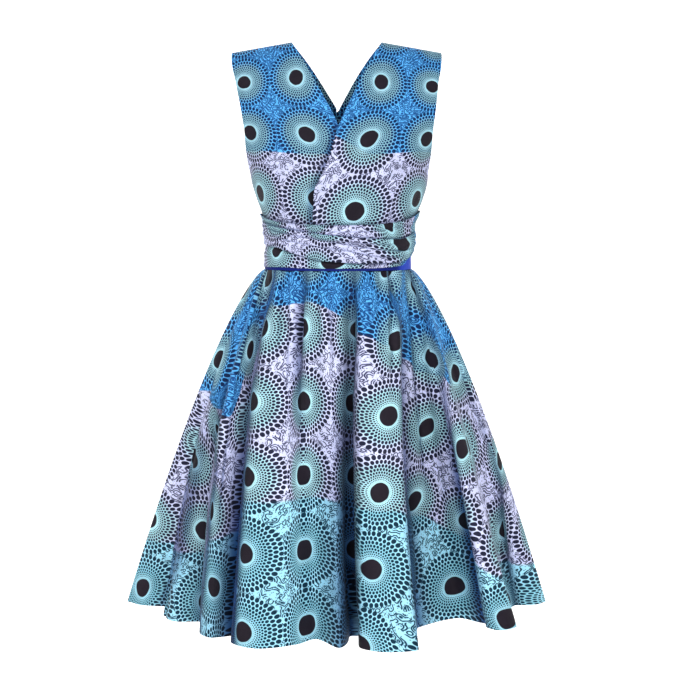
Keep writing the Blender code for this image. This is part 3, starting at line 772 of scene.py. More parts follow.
def lap_relief(laps, level, at, along):
    """Height of folds that lap: cloth dips under on one side and rolls over beside it."""
    height = np.zeros_like(along)
    index = np.arange(len(along))[:, None]
    for line, side, reach, _, _, depths in laps:
        depth = at_levels(depths, level)
        under, over = (at[line], at[line + 1]) if side > 0 else (at[line + 1], at[line])
        below = (index <= under) if side > 0 else (index >= under)
        wide = reach * (0.6 + 0.6 * level)
        dip = np.exp(-(np.abs(along - along[under]) / wide) ** 1.4)
        roll = bell(np.abs(along - along[over]), wide)
        height += np.where(below, -depth * dip, LAP_ROLL * depth * roll)
    return height


def lap_shade(laps, level, at, points):
    """How dark the cloth lies beside the edge of each fold that laps over it."""
    shade = np.zeros(points.shape[:2])
    index = np.arange(len(points))[:, None]
    for line, side, _, band, tone, depths in laps:
        over = at[line + 1] if side > 0 else at[line]
        below = (index < over) if side > 0 else (index > over)
        away = side * (points[over, :, 0] - points[:, :, 0])
        cast = tone * smooth_step(0.0, LAP_FULL_SHADE, at_levels(depths, level))
        in_valley = cast * bell(np.maximum(away, 0.0), band * (0.45 + 0.8 * level))
        behind = np.maximum(points[:, :, 1] - points[over, :, 1], 0.0)
        flank = smooth_step(0.001, -0.003, away) * (1.0 - bell(behind, FLANK_DEPTH))
        in_valley = in_valley * (1.0 - (1.0 - FLANK_SHADE) * flank)
        on_lip = LIP_SHADE * cast * bell(away, LIP_WIDTH)
        shade = np.maximum(shade, np.where(below, in_valley, on_lip))
    return 1.0 - (1.0 - shade) ** SHADE_CURVE


def bodice_print(side, across, drop):
    """Print coordinates and colour zones of a bodice piece."""
    blue_row, slope, pull, table = BODICE_PRINTS[side]
    rows = np.array([entry[0] for entry in table])
    column = np.zeros_like(across)
    for _ in range(ROUNDS):
        blend = rounder(np.clip(column, -2.0, 2.0))
        row = np.zeros_like(across)
        knots = [np.full_like(across, entry[1]) + blend * (entry[2] - entry[1]) for entry in table]
        for k in range(len(rows) - 1):
            share = (drop - knots[k]) / (knots[k + 1] - knots[k])
            here = share >= 0.0 if k else np.full(across.shape, True)
            row = np.where(here, rows[k] + share, row)
        places = [(entry[0], entry[3], entry[4]) for entry in table]
        column = (across - eased(places, 1, rounder(row))) / eased(places, 2, rounder(row))
    blue_ends = blue_row + slope * np.minimum(column, 0.0)
    near_middle = np.exp(-((row - 1.0) / BIAS_ROWS) ** 2 - (column / BIAS_COLUMNS) ** 2)
    column = column + pull * (row - 1.0) * near_middle
    zone = np.stack((row - blue_ends, np.full_like(row, NO_ZONE)), axis=2)
    return {"print": np.stack((column, -row), axis=2), "zone": zone}


def sash_print(name, angle, drop):
    """Print coordinates and colour zones of one stretch of the sash."""
    table = SASH_PRINT[name]
    row = eased(table, 3, angle) + (drop - eased(table, 1, angle)) / SASH_ROW
    column = eased(table, 2, angle) + SASH_SLANT * row
    left, right = SASH_BLUE[name]
    inside = np.minimum(angle - left, right - angle) / SASH_BLUE_FADES + np.zeros_like(drop)
    zone = np.stack((inside, np.full_like(inside, NO_ZONE)), axis=2)
    return {"print": np.stack((column, -row), axis=2), "zone": zone}


def sash_creases(name, angle, drop):
    """Height, painted shade and hidden print rows of the creases along one stretch of the sash."""
    height, shade, hidden = (np.zeros_like(drop) for _ in range(3))
    for stretch, angles, drops, depth, tone in SASH_CREASES:
        if stretch != name:
            continue
        away = drop - eased(np.stack((angles, drops), axis=1), 1, angle)
        first, last = angles[0], angles[-1]
        run = (smooth_step(first, first + TUCK_FADES, angle)
               * smooth_step(last, last - TUCK_FADES, angle))
        roll = TUCK_ROLL * bell(away - TUCK_ROLL_DROP, TUCK_ROLL_WIDTH)
        height += depth * run * (roll - bell(away, TUCK_WIDTH))
        shade = np.maximum(shade, tone * run * bell(away, TUCK_SHADE_WIDTH))
        hidden += TUCK_HIDES * run * smooth_step(-TUCK_EDGE, TUCK_EDGE, away)
    return height, shade, hidden


def beside_edge(drop, edge, side, width, tone):
    """Painted shade beside the edge of cloth that lies over, above it (-1) or below it (1)."""
    away = side * (drop - edge)
    return tone * bell(np.maximum(away, 0.0), width) * (away > -0.004)


# ---- finishes ------------------------------------------------------------------------
def paint(red, green, blue):
    """Linear colour from screen values of 0 to 255."""
    parts = [value / 255.0 for value in (red, green, blue)]
    return tuple(p / 12.92 if p <= 0.04045 else ((p + 0.055) / 1.055) ** 2.4 for p in parts) + (1.0,)


class Nodes:
    """Short names for the nodes of one material or group."""

    def __init__(self, tree):
        self.tree = tree

    def add(self, kind, **values):
        node = self.tree.nodes.new(kind)
        for key, value in values.items():
            setattr(node, key, value)
        return node

    def feed(self, socket, value):
        if isinstance(value, bpy.types.NodeSocket):
            self.tree.links.new(value, socket)
        else:
            socket.default_value = value

    def math(self, operation, first, second=0.0):
        node = self.add("ShaderNodeMath", operation=operation)
        for socket, value in zip(node.inputs, (first, second)):
            self.feed(socket, value)
        return node.outputs[0]

    def plus(self, first, second):
        return self.math("ADD", first, second)

    def minus(self, first, second):
        return self.math("SUBTRACT", first, second)

    def times(self, first, second):
        return self.math("MULTIPLY", first, second)

    def reach(self, across, along):
        """Straight distance, from its two parts."""
        return self.math("SQRT", self.plus(self.times(across, across), self.times(along, along)))

    def vector(self, operation, first, second=(0.0, 0.0, 0.0)):
        node = self.add("ShaderNodeVectorMath", operation=operation)
        self.feed(node.inputs[0], first)
        self.feed(node.inputs["Scale" if operation == "SCALE" else 1], second)
        return node.outputs["Value" if operation in ("LENGTH", "DISTANCE") else "Vector"]

    def ease(self, value, low, high, start=0.0, end=1.0):
        node = self.add("ShaderNodeMapRange", interpolation_type="SMOOTHSTEP")
        self.feed(node.inputs["Value"], value)
        self.feed(node.inputs["From Min"], low)
        self.feed(node.inputs["From Max"], high)
        self.feed(node.inputs["To Min"], start)
        self.feed(node.inputs["To Max"], end)
        return node.outputs[0]

    def mix(self, share, first, second):
        node = self.add("ShaderNodeMix", data_type="RGBA")
        self.feed(node.inputs[0], share)
        self.feed(node.inputs[6], first)
        self.feed(node.inputs[7], second)
        return node.outputs[2]

    def noise(self, vector, scale, detail=2.0, distortion=0.0):
        node = self.add("ShaderNodeTexNoise")
        self.feed(node.inputs["Vector"], vector)
        node.inputs["Scale"].default_value = scale
        node.inputs["Detail"].default_value = detail
        node.inputs["Distortion"].default_value = distortion
        return node.outputs["Fac"]

    def group(self, build, inputs, outputs, kind="NodeSocketFloat"):
        """Outputs of a node group that a function builds once, from vectors by name."""
        name = build.__name__.replace("_", " ").title()
        if name not in bpy.data.node_groups:
            tree = bpy.data.node_groups.new(name, "ShaderNodeTree")
            for label in inputs:
                tree.interface.new_socket(name=label, in_out="INPUT", socket_type="NodeSocketVector")
            for label in outputs:
                tree.interface.new_socket(name=label, in_out="OUTPUT", socket_type=kind)
            inner = Nodes(tree)
            start = inner.add("NodeGroupInput")
            end = inner.add("NodeGroupOutput")
            results = build(inner, {socket.name: socket for socket in start.outputs})
            for label, value in results.items():
                inner.feed(end.inputs[label], value)
        node = self.add("ShaderNodeGroup", node_tree=bpy.data.node_groups[name])
        for label, value in inputs.items():
            self.feed(node.inputs[label], value)
        return node.outputs


def roundel(nodes, inputs):
    """Rings of dots that shrink toward a round core, on a square repeat."""
    turn = 2.0 * math.pi / DOTS_ROUND
    half = nodes.vector("ADD", inputs["Print"], (0.5, 0.5, 0.0))
    local = nodes.vector("SUBTRACT", nodes.vector("FRACTION", half), (0.5, 0.5, 0.0))
    split = nodes.add("ShaderNodeSeparateXYZ")
    nodes.feed(split.inputs[0], local)
    flat = nodes.add("ShaderNodeCombineXYZ")
    nodes.feed(flat.inputs[0], split.outputs[0])
    nodes.feed(flat.inputs[1], split.outputs[1])
    radius = nodes.vector("LENGTH", flat.outputs[0])
    shrunk = nodes.math("DIVIDE", RING_RADIUS, radius)
    depth = nodes.math("DIVIDE", nodes.math("LOGARITHM", shrunk, math.e), turn)
    ring = nodes.math("ROUND", depth)
    inward = nodes.minus(depth, ring)
    angle = nodes.math("DIVIDE", nodes.math("ARCTAN2", split.outputs[1], split.outputs[0]), turn)
    offset = nodes.times(nodes.math("PINGPONG", ring, 1.0), 0.5)
    place = nodes.plus(angle, offset)
    sideways = nodes.minus(place, nodes.math("ROUND", place))
    reach = nodes.reach(nodes.times(inward, DOT_STRETCH), sideways)
    dot_size = bpy.context.scene.dress_print.dot_size
    size = nodes.minus(dot_size, nodes.times(ring, DOT_SHRINK))
    dot = nodes.ease(nodes.minus(reach, size), -DOT_BLUR, DOT_BLUR, 1.0, 0.0)
    inside = nodes.ease(ring, *DOT_RINGS, 1.0, 0.0)
    outside = nodes.math("GREATER_THAN", ring, -0.5)
    dots = nodes.times(nodes.times(dot, inside), outside)
    wobble = nodes.times(nodes.minus(nodes.noise(inputs["Print"], 7.0), 0.5), CORE_WOBBLE)
    uneven = nodes.plus(radius, wobble)
    return {
        "Dots": dots,
        "Core": nodes.ease(uneven, *CORE_EDGE, 1.0, 0.0),
        "Halo": nodes.ease(radius, *HALO_EDGE, 1.0, 0.0),
        "Field": nodes.ease(radius, *FIELD_EDGE, 1.0, 0.0),
        "Gap": nodes.ease(radius, *FILLER_EDGE),
    }


def contour(nodes, place, scale, count, width):
    """Evenly wide wandering lines along the levels of a smooth noise."""
    def level(shift):
        node = nodes.add("ShaderNodeTexNoise", noise_dimensions="2D")
        nodes.feed(node.inputs["Vector"], nodes.vector("ADD", place, shift))
        node.inputs["Scale"].default_value = scale
        node.inputs["Detail"].default_value = 0.0
        return nodes.times(node.outputs["Fac"], count)
    step = 0.004
    least_steep = 4.0
    here = level((0.0, 0.0, 0.0))
    right = nodes.minus(level((step, 0.0, 0.0)), here)
    above = nodes.minus(level((0.0, step, 0.0)), here)
    steep = nodes.math("DIVIDE", nodes.reach(right, above), step)
    steep = nodes.math("MAXIMUM", steep, least_steep)
    from_line = nodes.math("ABSOLUTE", nodes.minus(nodes.math("FRACT", here), 0.5))
    away = nodes.math("DIVIDE", from_line, steep)
    return nodes.ease(away, 0.6 * width, 1.4 * width, 1.0, 0.0)


def squiggles(nodes, inputs):
    """Short broken strokes between the roundels."""
    place = inputs["Print"]
    printed = bpy.context.scene.dress_print
    scale, width = printed.squiggle_scale, printed.squiggle_width
    strokes = contour(nodes, place, scale, SQUIGGLE_LINES, width)
    moved = nodes.vector("ADD", place, (7.3, 2.1, 0.0))
    strokes = nodes.times(strokes, nodes.ease(nodes.noise(moved, 11.0, 0.0), *BREAK_EDGE))
    close = contour(nodes, moved, 1.05 * scale, SQUIGGLE_LINES, 1.15 * width)
    spots = nodes.add("ShaderNodeTexVoronoi", voronoi_dimensions="2D")
    nodes.feed(spots.inputs["Vector"], place)
    spots.inputs["Scale"].default_value = SPECKS_ACROSS
    specks = nodes.ease(spots.outputs["Distance"], *SPECK_EDGE, 0.8, 0.0)
    return {"Strokes": nodes.math("MAXIMUM", strokes, specks), "Speckle": close}


def wax_print(nodes, inputs):
    """Colour of the cloth's right side."""
    printed = bpy.context.scene.dress_print
    colour = {name: tuple(getattr(printed, name)) for name in PRINT_COLOURS}
    place = {"Print": inputs["Print"]}
    motif = nodes.group(roundel, place, ("Dots", "Core", "Halo", "Field", "Gap"))
    filler = nodes.group(squiggles, place, ("Strokes", "Speckle"))
    zone = nodes.add("ShaderNodeSeparateXYZ")
    nodes.feed(zone.inputs[0], inputs["Zone"])
    lilac = nodes.ease(zone.outputs[0], -LILAC_BORDER, LILAC_BORDER)
    aqua = nodes.ease(zone.outputs[1], -AQUA_BORDER, AQUA_BORDER)

    def by_zone(key):
        two = nodes.mix(lilac, colour["blue_" + key], colour["lilac_" + key])
        return nodes.mix(aqua, two, colour["aqua_" + key])

    mottled = nodes.ease(nodes.noise(inputs["Print"], 5.0, 3.0), 0.3, 0.7, *MOTTLING)
    ground = by_zone("ground")
    field = nodes.mix(motif["Field"], ground, by_zone("field"))
    halo = nodes.mix(motif["Halo"], field, by_zone("halo"))
    dotted = nodes.mix(motif["Dots"], halo, by_zone("ink"))
    not_lilac = nodes.minus(1.0, lilac)
    on_blue = nodes.times(filler["Speckle"], nodes.times(not_lilac, LINES_ON_BLUE))
    on_pale = nodes.times(filler["Strokes"], lilac)
    lines = nodes.times(nodes.math("MAXIMUM", on_blue, on_pale), motif["Gap"])
    lined = nodes.mix(lines, dotted, by_zone("line"))
    cored = nodes.mix(motif["Core"], lined, colour["core"])
    tone = nodes.add("ShaderNodeMix", data_type="RGBA", blend_type="MULTIPLY")
    tone.inputs[0].default_value = 1.0
    nodes.feed(tone.inputs[6], cored)
    grey = nodes.add("ShaderNodeCombineColor")
    for socket in grey.inputs:
        nodes.feed(socket, mottled)
    nodes.feed(tone.inputs[7], grey.outputs[0])
    return {"Colour": tone.outputs[2]}


def plain_weave(nodes, inputs):
    """Plain weave: raised threads both ways and slight slubs."""
    split = nodes.add("ShaderNodeSeparateXYZ")
    threads = bpy.context.scene.dress_cloth.threads
    nodes.feed(split.inputs[0], nodes.vector("SCALE", inputs["Print"], threads * math.pi))
    over = nodes.times(nodes.math("SINE", split.outputs[0]), nodes.math("SINE", split.outputs[1]))
    slub = nodes.noise(nodes.vector("MULTIPLY", inputs["Print"], (4.0, 90.0, 1.0)), 1.0, 2.0)
    crumple = nodes.noise(inputs["Print"], 9.0, 3.0, 0.3)
    fine = nodes.times(over, THREAD_HEIGHT)
    slubs = nodes.times(slub, SLUB_HEIGHT)
    creased = nodes.times(crumple, CRUMPLE_HEIGHT)
    return {"Height": nodes.plus(creased, nodes.plus(fine, slubs))}


def cotton(name, inside_shade=0.0, flat=None):
    """Plain-weave cotton, printed or of one flat colour. A share above 0 mixes in painted shade, for a
    wrong side that lies in shadow inside the dress.
    """
    material = bpy.data.materials.new(name)
    material.use_nodes = True
    nodes = Nodes(material.node_tree)
    shader = material.node_tree.nodes["Principled BSDF"]
    shader.inputs["Roughness"].default_value = COTTON_ROUGHNESS
    shader.inputs["Sheen Weight"].default_value = COTTON_SHEEN
    shader.inputs["Sheen Roughness"].default_value = SHEEN_ROUGHNESS
    shader.inputs["Specular IOR Level"].default_value = COTTON_GLOSS
    place = nodes.add("ShaderNodeUVMap", uv_map="print").outputs[0]
    zone = nodes.add("ShaderNodeUVMap", uv_map="zone").outputs[0]
    sockets = {"Print": place, "Zone": zone}
    colour = nodes.group(wax_print, sockets, ("Colour",), "NodeSocketColor")["Colour"]
    if flat:
        uneven = nodes.noise(place, 30.0, 3.0)
        colour = nodes.mix(uneven, paint(*flat), paint(*[0.86 * v for v in flat]))
    # Painted shade: the wrong side is darkened toward a dark navy, as it lies in shadow inside the dress.
    if inside_shade > 0.0:
        colour = nodes.mix(inside_shade, colour, paint(*INSIDE_SHADE_TONE))
    # Painted shade: the shade attribute darkens the colour toward the fold shade colour in folds and
    # creases, beneath laps and the sash, along edges, and evenly over the bodice and sash.
    painted_shade = nodes.add("ShaderNodeAttribute", attribute_name="shade").outputs["Fac"]
    shaded_colour = nodes.add("ShaderNodeMix", data_type="RGBA", blend_type="MULTIPLY")
    shaded_colour.inputs[0].default_value = 1.0
    nodes.feed(shaded_colour.inputs[6], colour)
    shade_colour = tuple(bpy.context.scene.dress_print.fold_tint)
    nodes.feed(shaded_colour.inputs[7], nodes.mix(painted_shade, WHITE, shade_colour))
    nodes.feed(shader.inputs["Base Color"], shaded_colour.outputs[2])
    woven = nodes.group(plain_weave, {"Print": place}, ("Height",))
    bump = nodes.add("ShaderNodeBump")
    bump.inputs["Strength"].default_value = BUMP_STRENGTH
    bump.inputs["Distance"].default_value = 1.0
    nodes.feed(bump.inputs["Height"], woven["Height"])
    nodes.feed(shader.inputs["Normal"], bump.outputs[0])
    return material


def finish(piece, front, back):
    """Right side and wrong side of a piece of cloth."""
    for name, settings in (front, back):
        material = bpy.data.materials.get(name) or cotton(name, **settings)
        piece.data.materials.append(material)


# ---- pieces --------------------------------------------------------------------------
def skirt_sheet(folds, prints, laps, side):
    """Outer points, print layers and shade of half the skirt. side is -1 in front, 1 behind."""
    run = [0.0]
    for before, after in zip(folds, folds[1:]):
        along_hem = math.hypot(after[0] - before[0], after[1] - before[1])
        along_waist = WAIST_DEGREE * abs(after[2] - before[2])
        run.append(run[-1] + HEM_WEIGHT * along_hem + WAIST_WEIGHT * along_waist)
    table = [(at / run[-1],) + fold for at, fold in zip(run, folds)]
    level = np.linspace(0.0, 1.0, SKIRT_ROWS)
    level = level * (ROWS_AT_WAIST + (1.0 - ROWS_AT_WAIST) * level)
    share, at = skirt_columns(prints, level)
    hem_x, hem_y, angle, bow = (eased(table, k, share) for k in (1, 2, 3, 4))
    waist_x, waist_y = torso(angle, WAIST_DROP)
    length = np.hypot(waist_x, waist_y)
    spread = level ** FLARE
    rise = level / GATHER_PEAK * np.exp(1.0 - level / GATHER_PEAK)
    turn = np.radians(angle)
    uneven = 1.0 + GATHER_UNEVEN * np.sin(7.0 * turn + 0.8) * np.cos(3.0 * turn)
    wave = np.cos(turn * GATHERS + GATHER_SLIDE * np.sin(5.0 * turn))
    gather = bpy.context.scene.dress_cloth.gather_depth * rise * wave * uneven
    gather = gather * np.abs(np.cos(turn))
    x = waist_x + (hem_x - waist_x) * spread + gather * waist_x / length
    x = x + bow * np.sin(math.pi * level)
    y = waist_y + (hem_y - waist_y) * spread + gather * waist_y / length
    z = -WAIST_DROP - (HEM_DROP - WAIST_DROP) * level
    points = np.stack(np.broadcast_arrays(x, y, z), axis=2)
    normal = facing(points)
    along = run_along(points, 0)
    height = lap_relief(laps, level, at, along)
    height = height * smooth_step(0.0, 0.05, level)
    # Painted shade: a dark line along each crease, darker for deeper creases.
    lines = np.zeros_like(height)
    for crease, start, end, drift, width, depth in CREASES:
        if not angle[0, 0] < crease < angle[-1, 0]:
            continue
        column = np.argmin(np.abs(angle - crease), axis=0)
        away = along - along[column, np.arange(len(level))] - drift * level / max(end, 0.1)
        grown = width * (1.0 + CREASE_GROWTH * level)
        trough = bell(away, np.where(away < 0.0, grown, CREASE_FAR_SIDE * grown))
        fade = (smooth_step(start - 0.06, start + 0.05, level)
                * smooth_step(end + 0.16, end - 0.06, level))
        height -= depth * trough * fade
        lines = np.maximum(lines, CREASE_SHADE_PER_DEPTH * depth * fade * bell(away, CREASE_SHADE_WIDTH))
    edge = (smooth_step(0.0, SEAM_CLEAR, along)
            * smooth_step(0.0, SEAM_CLEAR, along[-1:] - along))
    points += normal * (height * edge)[:, :, None]
    points[:, :, 1] = side * np.maximum(side * points[:, :, 1], SEAM_GAP / 2.0)
    shade = np.maximum(lap_shade(laps, level, at, points), np.minimum(lines, CREASE_SHADE_MOST))
    shade = shade * (SHADE_AT_WAIST + (1.0 - SHADE_AT_WAIST) * smooth_step(0.25, 0.75, level))
    return points, skirt_print(prints, TAKEN_IN if laps else (), level, share), shade


def bodice_grid():
    """Share across and drop of a bodice sheet's points. Rows are closer at the shoulder."""
    share = np.linspace(0.0, 1.0, BODICE_COLUMNS)[:, None]
    step = np.linspace(0.0, 1.0, BODICE_ROWS)
    drop = BAND_DROP * (0.35 * step ** 3 + 0.65 * step)
    return share, drop + np.zeros_like(share)


def round_from_middle(angle, drop):
    """Distance round the girth from the middle front or back to each point."""
    fine = np.linspace(-89.9, 89.9, GIRTH_STEPS)[:, None]
    x, y = torso(fine, drop[:1])
    step = np.hypot(np.diff(x, axis=0), np.diff(y, axis=0))
    run = np.concatenate((np.zeros_like(step[:1]), np.cumsum(step, axis=0)))
    run = run - run[GIRTH_STEPS // 2]
    result = np.zeros_like(angle)
    for k in range(angle.shape[1]):
        result[:, k] = np.interp(angle[:, k], fine[:, 0], run[:, k])
    return result


def front_sheet(mirror):
    """Outer points, print layers and shade of one front, from its free edge to the side."""
    share, drop = bodice_grid()
    start = angle_at(eased(FRONT_EDGE, 1, drop), drop)
    angle = start + (angle_at(eased(GIRTH, 1, drop), drop) - start) * share
    angle = mirror * angle
    x, y = torso(angle, drop)
    if mirror < 0:
        y = y + LAP_DEPTH * smooth_step(*LAP_ACROSS, x) * smooth_step(*LAP_DOWN, drop)
    points = np.stack((x, y, row_height(x, drop)), axis=2)
    across = round_from_middle(angle, drop)
    height = soft_folds(across, drop, BODICE_FOLDS)
    near_edges = smooth_step(0.0, 0.10, share) * smooth_step(1.0, 0.94, share)
    normal = facing(points) * mirror
    points += normal * (height * near_edges)[:, :, None]
    points[:, :, 1] = np.minimum(points[:, :, 1], -SEAM_GAP / 2.0)
    shade = beside_edge(drop, eased(SASH_UPPER, 1, angle), -1.0, *ABOVE_SASH)
    shade = np.maximum(shade, BODICE_SHADE)
    if mirror < 0:
        away = np.maximum(eased(FRONT_EDGE, 1, drop) - points[:, :, 0], 0.0)
        shade = np.maximum(shade, UNDER_LAP_SHADE * bell(away, UNDER_LAP_WIDTH))
    return points, bodice_print("left" if mirror > 0 else "right", across, drop), shade


def back_sheets():
    """Outer points, print layers and shade of each half of the back, which meet in the middle."""
    share, drop = bodice_grid()
    neck_x = SHOULDER_NECK_X * np.maximum(0.0, 1.0 - drop / BACK_NECK_DROP) ** BACK_NECK_BEND
    outer = angle_at(eased(GIRTH, 1, drop), drop)
    lean = eased(GIRTH, 5, drop)
    halves = []
    for side in (1.0, -1.0):
        at = share if side > 0 else 1.0 - share
        inner = angle_at(neck_x if side > 0 else np.maximum(neck_x, lean), drop)
        angle = side * (outer + (inner - outer) * at)
        x, y = torso(180.0 - angle, drop)
        middle = (neck_x <= 0.0) & (at >= 1.0)
        x = np.where(middle, 0.0, x)
        y = np.maximum(y, SEAM_GAP / 2.0)
        points = np.stack((x, y, row_height(x, drop)), axis=2)
        printed = bodice_print("back", round_from_middle(angle, drop), drop)
        halves.append((points, printed, np.full(x.shape, BODICE_SHADE)))
    return halves


def sash_sheet(name):
    """Outer points, print layers and shade of one stretch of the sash, and if it goes round."""
    table = SASH_EDGES[name]
    first = table[0][0]
    span = table[-1][0] - first
    closed = span > 359.0
    columns = RING_COLUMNS if closed else RING_COLUMNS // 2
    angle = first + span * np.arange(columns)[:, None] / (columns if closed else columns - 1)
    share = np.linspace(0.0, 1.0, SASH_ROWS)[None, :]
    upper = eased(table, 1, angle)
    lower = eased(table, 2, angle)
    drop = upper + (lower - upper) * share
    turn = np.radians(angle)
    pleats, slide, twist = SASH_PLEATS[name]
    wander = share + 0.06 * np.sin(2.0 * turn + slide) + 0.03 * np.sin(5.0 * turn + 2.0 * slide)
    ripple = np.cos(2.0 * math.pi * (pleats * wander + twist * angle / 90.0))
    creased, shade, hidden = sash_creases(name, angle, drop)
    height = PLEAT_HEIGHT * ripple + creased
    height *= smooth_step(0.0, SASH_CLEAR, share) * smooth_step(1.0, 1.0 - SASH_CLEAR, share)
    if name == "crossing":
        height += bpy.context.scene.dress_cloth.sash_swell * np.sin(math.pi * share)
    else:
        here = smooth_step(*CROSSING_FROM, angle) * smooth_step(*CROSSING_TO, angle)
        above = beside_edge(drop, eased(SASH_CROSSING, 1, angle), -1.0, *ABOVE_CROSSING)
        under = beside_edge(drop, eased(SASH_CROSSING, 2, angle), 1.0, *BELOW_CROSSING)
        shade = np.maximum(shade, here * (above if name == "upper" else under))
    x, y = torso(angle, drop, SASH_OUT[name] + height)
    rim = bell(share, SASH_RIM) + bell(1.0 - share, SASH_RIM)
    shade = np.maximum(np.maximum(shade, SASH_RIM_SHADE * rim), SASH_SHADE)
    shown = drop + SASH_ROW * hidden
    if closed:
        angle = np.concatenate((angle, angle[:1] + 360.0))
        shown = np.concatenate((shown, shown[:1]))
    return np.stack((x, y, -drop), axis=2), sash_print(name, angle, shown), shade, closed


# ---- settings and tools --------------------------------------------------------------
def metres(label, note, value):
    """A length setting in metres."""
    return bpy.props.FloatProperty(name=label, description=note, default=value, min=0.0, precision=4,
                                   subtype="DISTANCE", unit="LENGTH")


def number(label, note, value):
    """A plain number setting."""
    return bpy.props.FloatProperty(name=label, description=note, default=value, min=0.0, precision=3)


def watts(label, note, value):
    """The strength of a lamp in watts."""
    return bpy.props.FloatProperty(name=label, description=note, default=value, min=0.0,
                                   subtype="POWER", unit="POWER")


def dye(label, value):
    """A colour setting from its linear value."""
    return bpy.props.FloatVectorProperty(name=label, description=label + " of the printed cotton",
                                         default=value, size=4, min=0.0, max=1.0, subtype="COLOR")


class DRESS_PG_print(bpy.types.PropertyGroup):
    """Colours and marks of the printed cotton, and the colour of its painted shade"""
    __annotations__ = {key: dye(key.replace("_", " ").title(), paint(*value))
                       for key, value in PRINT_COLOURS.items()}
    # Colour toward which the painted shade darkens the cloth in folds, creases and beside edges that lie
    # over.
    fold_tint: dye("Fold Tint", (0.03, 0.08, 0.22, 1.0))
    dot_size: number("Dot Size", "Radius of the ring dots as a share of their spacing", 0.415)
    squiggle_scale: number("Squiggle Scale", "How closely the short strokes wander", 12.5)
    squiggle_width: number("Squiggle Width", "Width of the strokes as a share of the repeat", 0.0078)


class DRESS_PG_cloth(bpy.types.PropertyGroup):
    """Thickness, threads and fullness of the cloth"""
    thickness: metres("Thickness", "Thickness of the cotton with its finish", 0.0010)
    threads: number("Threads", "Threads across one repeat of the print", 364.0)
    gather_depth: metres("Gather Depth", "Depth of the small gathers below the waist", 0.0030)
    sash_swell: metres("Sash Swell", "How far the crossing stretch of the sash stands out", 0.0022)


class DRESS_PG_studio(bpy.types.PropertyGroup):
    """Strengths of the studio lights"""
    key: watts("Key", "Large lamp above to the viewer's left", 95.0)
    fill: watts("Fill", "Large lamp to the viewer's right", 58.0)
    low: watts("Low", "Lamp in front of the hem", 24.0)
    backdrop: watts("Backdrop", "Each of the two lamps on the backdrop", 90.0)
    sky: number("Sky", "Even light from all round", 0.5)


class DRESS_OT_skirt(bpy.types.Operator):
    """Gathered skirt, front and back"""
    bl_idname = "dress.skirt"
    bl_label = "Skirt"

    def execute(self, context):
        for name, folds, prints, laps, side in (
                ("skirt_front", FRONT_FOLDS, PRINT_FRONT, LAPS, -1.0),
                ("skirt_back", BACK_FOLDS, PRINT_BACK, (), 1.0)):
            points, layers, shade = skirt_sheet(folds, prints, laps, side)
            piece = cloth(name + "_cloth", points, layers, shade)
            finish(piece, ("skirt_print", {}), WRONG_SIDE)
            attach(piece, "root")
            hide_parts(name)
        return {"FINISHED"}


class DRESS_OT_bodice(bpy.types.Operator):
    """Crossed fronts and the V-necked back"""
    bl_idname = "dress.bodice"
    bl_label = "Bodice"

    def execute(self, context):
        for name, mirror in (("bodice_front_left", 1.0), ("bodice_front_right", -1.0)):
            points, layers, shade = front_sheet(mirror)
            piece = cloth(name + "_cloth", points, layers, shade, turned=mirror < 0)
            finish(piece, ("bodice_print", {}), WRONG_SIDE)
            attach(piece, "root")
            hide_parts(name)
        piece = joined_back([cloth("back_half", *half) for half in back_sheets()])
        finish(piece, ("bodice_print", {}), INSIDE_BACK)
        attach(piece, "root")
        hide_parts("bodice_back")
        return {"FINISHED"}


def joined_back(halves):
    """Both halves of the back as one piece, its middle welded below the neck."""
    bpy.ops.object.select_all(action="DESELECT")
    for half in halves:
        half.select_set(True)
    bpy.context.view_layer.objects.active = halves[0]
    bpy.ops.object.join()
    piece = halves[0]
    piece.name = "bodice_back_cloth"
    mesh = bmesh.new()
    mesh.from_mesh(piece.data)
    seam = {vert for vert in mesh.verts if abs(vert.co.x) < ON_MIDDLE}
    middle = [face for face in mesh.faces if seam.issuperset(face.verts)]
    bmesh.ops.delete(mesh, geom=middle, context="FACES")
    seam = [vert for vert in mesh.verts if abs(vert.co.x) < ON_MIDDLE]
    bmesh.ops.remove_doubles(mesh, verts=seam, dist=WELD)
    mesh.to_mesh(piece.data)
    mesh.free()
    return piece


class DRESS_OT_waist(bpy.types.Operator):
    """Waistband and the sash wound over it"""
    bl_idname = "dress.waist"
    bl_label = "Waistband and Sash"

    def execute(self, context):
        angle = -180.0 + 360.0 * np.arange(RING_COLUMNS)[:, None] / RING_COLUMNS
        drop = np.linspace(BAND_DROP + SEAM_GAP, WAIST_DROP - SEAM_GAP, BAND_ROWS)[None, :]
        points = np.stack(np.broadcast_arrays(*torso(angle, drop), -drop), axis=2)
        layers = sash_print("lower", np.concatenate((angle, angle[:1] + 360.0)), drop)
        clear = smooth_step(*BAND_CLEARS, angle + np.zeros_like(drop))
        shade = BAND_SHADE - BAND_BRIGHTER * clear
        piece = cloth("waistband_cloth", points, layers, shade, closed=True)
        finish(piece, ("band_royal", {"flat": ROYAL_BAND}), WRONG_SIDE)
        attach(piece, "root")
        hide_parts("waistband")
        for name, node, width in (("lower", "sash_lower_wrap", 0.044),
                                  ("upper", "sash_upper_wrap", 0.048),
                                  ("crossing", "sash_crossing_stretch", 0.038)):
            points, layers, shade, closed = sash_sheet(name)
            piece = cloth(node + "_cloth", points, layers, shade, closed=closed)
            finish(piece, ("sash_print", {}), WRONG_SIDE)
            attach(piece, "root")
            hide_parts(node)
        return {"FINISHED"}


